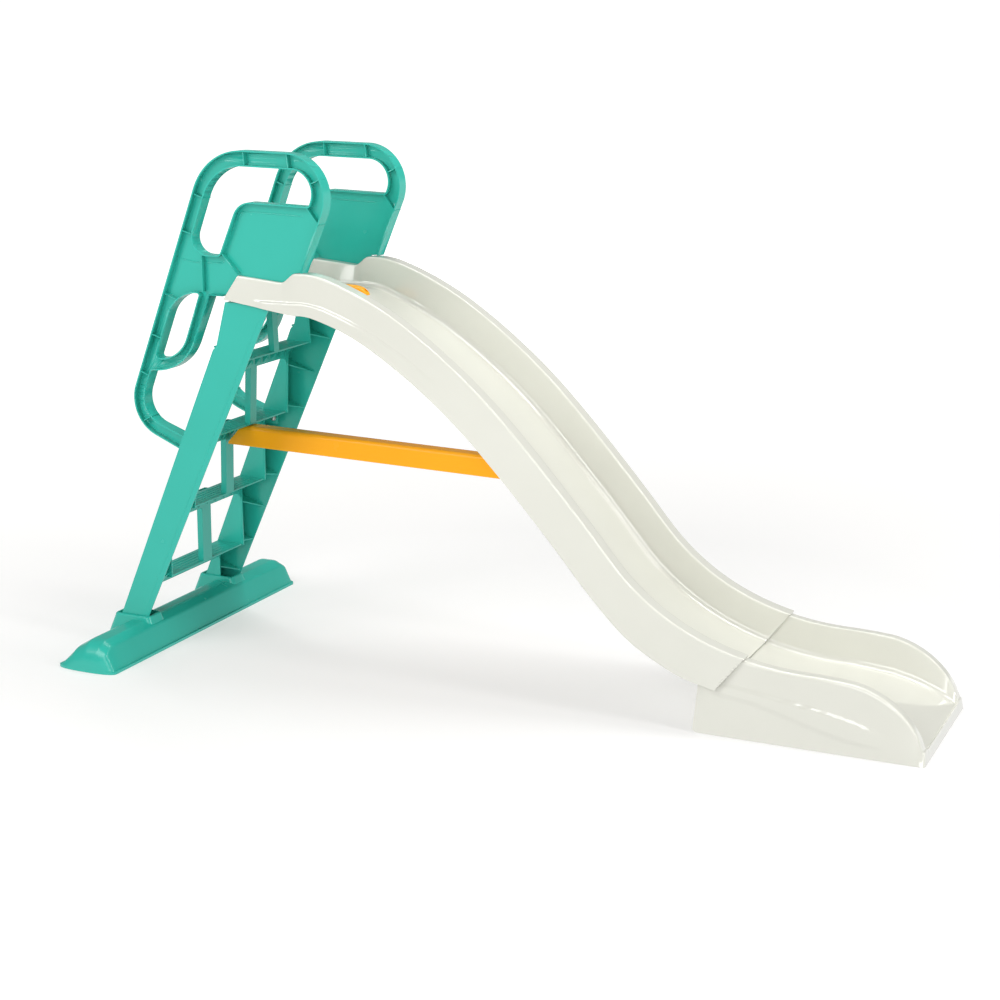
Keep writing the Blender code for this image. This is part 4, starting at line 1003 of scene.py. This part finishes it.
def handrails():
    """One shape, placed on both sides."""
    shape = handrail_shape()
    for word, side in (("left", 1), ("right", -1)):
        mesh = shape.data.copy()
        mesh.transform(Matrix.Translation((0.0, side * RAIL_PLANE, 0.0)))
        show(new_object(word, mesh), f"handrail_{word}_loop", "teal_plastic", [f"handrail_{word}"],
             edge=0.0007)
    bpy.data.objects.remove(shape)


def panel_lines():
    """Low moulded beads on both faces of each handrail's web."""
    pieces = []
    for plane in (-RAIL_PLANE, RAIL_PLANE):
        for line in PANEL_LINES:
            route = through([Vector((x, plane, z)) for x, z in line], 6)
            for side in (-1, 1):
                normal = Vector((0.0, side, 0.0))
                points = [point + normal * PLASTIC / 2 for point in route]
                pieces.append(ribbon(points, normal, *PANEL_BEAD))
    return show(merged("panel_lines", pieces), "panel_lines", "teal_plastic")


# ---- foot, brace and nozzle
def foot():
    """Hollow bar with its two collars, their sockets and the screw holes."""
    body = loft("foot", foot_rings(FOOT_SECTION, 0.0))
    inside = loft("inside", foot_rings(FOOT_INSIDE, PLASTIC))
    body = join(cut(body, inside), collar(-1), collar(1))
    holes = [rod((FOOT_SCREW[0], side * FOOT_SCREW[1], -0.01), (0, 0, 1), CLEAR_HOLE, 0.03, 24)
             for side in (-1, 1)]
    body = cut(body, socket(-1), socket(1), *holes)
    return show(body, "foot_bar", "teal_plastic", ["foot"], edge=0.0016, sharp=30.0)


def brace():
    """Channel with the holes for its bolt and its two screws."""
    body = cut(brace_body(0.0), brace_body(PLASTIC))
    up = floor_frame(BRACE_X)[1]
    holes = [rod(on_floor(BRACE_X, y, -0.018), up, CLEAR_HOLE, 0.012, 24) for y in BRACE_SCREWS]
    holes.append(rod((BRACE_BOLT_X, 0, 0.46), (0, 0, 1), CLEAR_HOLE, 0.05, 24))
    return show(cut(body, *holes), "brace_channel", "yellow_plastic", ["brace"], edge=0.0008)


def water_nozzle():
    """Cap and barbed stem with one bore between them."""
    top = ENTRY_FLOOR + SEAL + 3 * GAP
    stem = [(0.0, 0.0), (SPIGOT, 0.0), (SPIGOT, SPIGOT_LENGTH), *BARB, (0.0, BARB[-1][1])]
    stem_body = turned("stem", stem, (NOZZLE[0], 0.0, top + 0.002), (0, 0, -1), 48)
    body = join(dome(), stem_body)
    bore = rod((NOZZLE[0], 0.0, 0.74), (0, 0, 1), BORE, 0.07, 32)
    outlet = rod((NOZZLE[0] - 0.004, 0.0, top + 0.009), (1, 0, 0), OUTLET, 0.06, 32)
    return show(cut(body, bore, outlet), "water_nozzle_dome", "yellow_plastic", ["water_nozzle"],
                edge=0.0004, body="nozzle")


# ---- ladder details
GRIPS = 5  # ribs along each tread
GRIP_BEAD = (0.0042, 0.0016)  # width and height
GRIP_MARGINS = (0.012, 0.010)  # from the tread's rear and front edges
GUSSETS = 9  # under each tread
GUSSET_SIZE = (0.028, 0.034)  # along the tread's underside and down the beam
GUSSET_HALF = 0.0009
GUSSET_SUNK = 0.002  # their corner lies this deep in the tread and the beam
LINE_BACK = 0.0135  # rail line behind the rail's front edge
LINE_HEIGHTS = (0.105, 0.775)
LINE_POINTS = 25
LINE_BEAD = (0.0022, 0.0006)


def narrowed(z):
    """Share of a half width that is left at a level, as the rails lean in."""
    return 1.0 - TAPER * (z - TAPER_LEVEL)


def tread_grips():
    """Low ribs along each tread, and gussets between its underside and the beam."""
    pieces = []
    up = Vector((0.0, 0.0, 1.0))
    for n in range(TREAD_COUNT):
        z = FIRST_TREAD + RISE * n
        rear, front = climb_x(z), FIRST_FRONT + RUN * n
        half = (RAIL_CHEEK - 0.010) * narrowed(z)
        for x in spread(rear + GRIP_MARGINS[0], front - GRIP_MARGINS[1], GRIPS - 1):
            points = [Vector((x, y, z)) for y in spread(-half, half, 8)]
            pieces.append(ribbon(points, up, *GRIP_BEAD))
        inner, under = rear + GUSSET_SUNK, z - GUSSET_SUNK
        along, down = GUSSET_SIZE
        gusset = [(inner, under), (inner, under - down), (inner + along, under)]
        for y in spread(-half, half, GUSSETS - 1):
            pieces.append(slab(gusset, y - GUSSET_HALF, y + GUSSET_HALF))
    return show(merged("tread_grips", pieces), "tread_grips", "teal_plastic", edge=0.0003)


def rail_lines():
    """Shallow moulded line down each rail's outer face, beside its front edge."""
    pieces = []
    for side in (-1, 1):
        points = [Vector((front_x(z) - LINE_BACK, side * RAIL_OUTER * narrowed(z), z))
                  for z in spread(*LINE_HEIGHTS, LINE_POINTS - 1)]
        normal = Vector((0.0, side, TAPER * RAIL_OUTER)).normalized()
        pieces.append(ribbon(points, normal, *LINE_BEAD))
    return show(merged("rail_lines", pieces), "rail_lines", "teal_plastic")


def foot_strip():
    """Flat raised band on top of the foot between the collars."""
    top = FOOT_SECTION[5][1]
    (rear, front), half, corner = STRIP
    outline = rounded([(rear, -half, corner), (front, -half, corner), (front, half, corner),
                       (rear, half, corner)], 0.0012)
    rings = [[(x, y, top - 0.0015) for x, y in outline], [(x, y, top + 0.0004) for x, y in outline],
             [(x, y, top + 0.0012) for x, y in inset(outline, 0.0009)]]
    return show(loft("strip", rings), "foot_strip", "teal_plastic", edge=0.0002)


def dress_cad():
    """Give every CAD node that still shows the finish of its slot, and the ladder softened edges."""
    slots = {row["node"]: row["material_slot"] for row in frame["record"]["subparts"]}
    for name, piece in NODES.items():
        if not piece.hide_render:
            piece.data.materials.clear()
            piece.data.materials.append(SLOTS[slots[name]])
    ladder = NODES["ladder"]
    weld = ladder.modifiers.new("weld", "WELD")
    weld.merge_threshold = WELD
    flat = ladder.modifiers.new("flat", "DECIMATE")
    flat.decimate_type = "DISSOLVE"
    flat.angle_limit = radians(0.5)
    soft_edges(ladder, 0.0008, 35.0)


upper_slide()
lower_slide()
handrails()
panel_lines()
foot()
brace()
water_nozzle()
tread_grips()
rail_lines()
foot_strip()
dress_cad()


# ---- camera, light and floor
EYE = (1.621, -3.555, 1.378)
EYE_ANGLES = (24.97, 14.24, -0.28)  # azimuth, elevation and roll in degrees
LENS = 68.08  # focal length in millimetres


def camera():
    """Three-quarter view from the exit side, from a little above."""
    azimuth, elevation, roll = (radians(angle) for angle in EYE_ANGLES)
    back = Vector((sin(azimuth) * cos(elevation), -cos(azimuth) * cos(elevation),
                   sin(elevation)))
    level = Vector((cos(azimuth), sin(azimuth), 0.0))
    rise = back.cross(level)
    right = level * cos(roll) + rise * sin(roll)
    up = back.cross(right)
    lens = bpy.data.cameras.new("camera")
    lens.lens = LENS
    lens.sensor_width = 36.0
    lens.clip_end = 1000.0
    eye = new_object("camera", lens, SCENE.collection)
    turn = Matrix((right, up, back)).transposed().to_4x4()
    eye.matrix_world = Matrix.Translation(EYE) @ turn
    SCENE.camera = eye


# Area lights: name, place, point they face, size and power
SOFTBOXES = (("key", (-1.9, -3.0, 2.9), (0.0, 0.0, 0.5), (2.2, 2.2), 76.0),
             ("top", (0.3, 0.7, 3.2), (0.1, 0.0, 0.4), (3.6, 0.4), 62.0),
             ("front", (1.2, -4.6, 1.7), (0.0, 0.0, 0.4), (3.0, 1.6), 62.0),
             ("side", (3.2, -0.6, 2.0), (0.2, 0.0, 0.2), (0.6, 2.4), 50.0))


def softbox(name, place, aim, size, energy):
    """Rectangular area light turned towards a point."""
    lamp = bpy.data.lights.new(name, "AREA")
    lamp.shape = "RECTANGLE"
    lamp.size, lamp.size_y = size
    lamp.energy = energy
    made = new_object(name, lamp, SCENE.collection)
    made.location = place
    made.rotation_euler = (Vector(aim) - Vector(place)).to_track_quat("-Z", "Y").to_euler()


def surroundings():
    """Pale room with a thin bright horizon."""
    world = bpy.data.worlds.new("room")
    SCENE.world = world
    world.use_nodes = True
    tree = world.node_tree
    place = tree.nodes.new("ShaderNodeTexCoord")
    split = node(tree, "ShaderNodeSeparateXYZ", Vector=(place, "Generated"))
    above = node(tree, "ShaderNodeMapRange", Value=(split, "Z"), From_Min=0.02, From_Max=0.10,
                 To_Min=0.80, To_Max=0.0)
    below = node(tree, "ShaderNodeMapRange", Value=(split, "Z"), From_Min=-0.06, From_Max=-0.01,
                 To_Min=0.16, To_Max=0.26)
    total = node(tree, "ShaderNodeMath")
    tree.links.new(above.outputs["Result"], total.inputs[0])
    tree.links.new(below.outputs["Result"], total.inputs[1])
    feed(tree, tree.nodes["Background"], Strength=(total, "Value"), Color=(1.0, 1.0, 1.0, 1.0))


def floor():
    """Pale round floor that reaches past the view."""
    built = bmesh.new()
    bmesh.ops.create_circle(built, cap_ends=True, segments=96, radius=400.0)
    ground = from_bmesh("floor", built, SCENE.collection)
    if ground.data.polygons[0].normal.z < 0:
        ground.data.flip_normals()
    ground.location.z = -0.0005
    paint, tree, shader, place = plain_material("floor_paint")
    tint = node(tree, "ShaderNodeMapRange", Value=(noise(tree, place, 60.0), "Fac"), To_Min=0.47,
                To_Max=0.49)
    away = node(tree, "ShaderNodeVectorMath", Vector=(place, "Object"))
    away.operation = "LENGTH"
    glow = node(tree, "ShaderNodeMapRange", Value=(away, "Value"), From_Min=1.2, From_Max=4.5,
                To_Min=0.50, To_Max=1.05)
    feed(tree, shader, Base_Color=(tint, "Result"), Roughness=0.6, Specular_IOR_Level=0.2,
         Emission_Color=(1.0, 0.99, 0.97, 1.0), Emission_Strength=(glow, "Result"))
    ground.data.materials.append(paint)
    ground.visible_diffuse = False
    ground.visible_glossy = False


camera()
surroundings()
floor()
for light in SOFTBOXES:
    softbox(*light)
SCENE.view_settings.view_transform = "Standard"
SCENE.view_settings.look = "None"
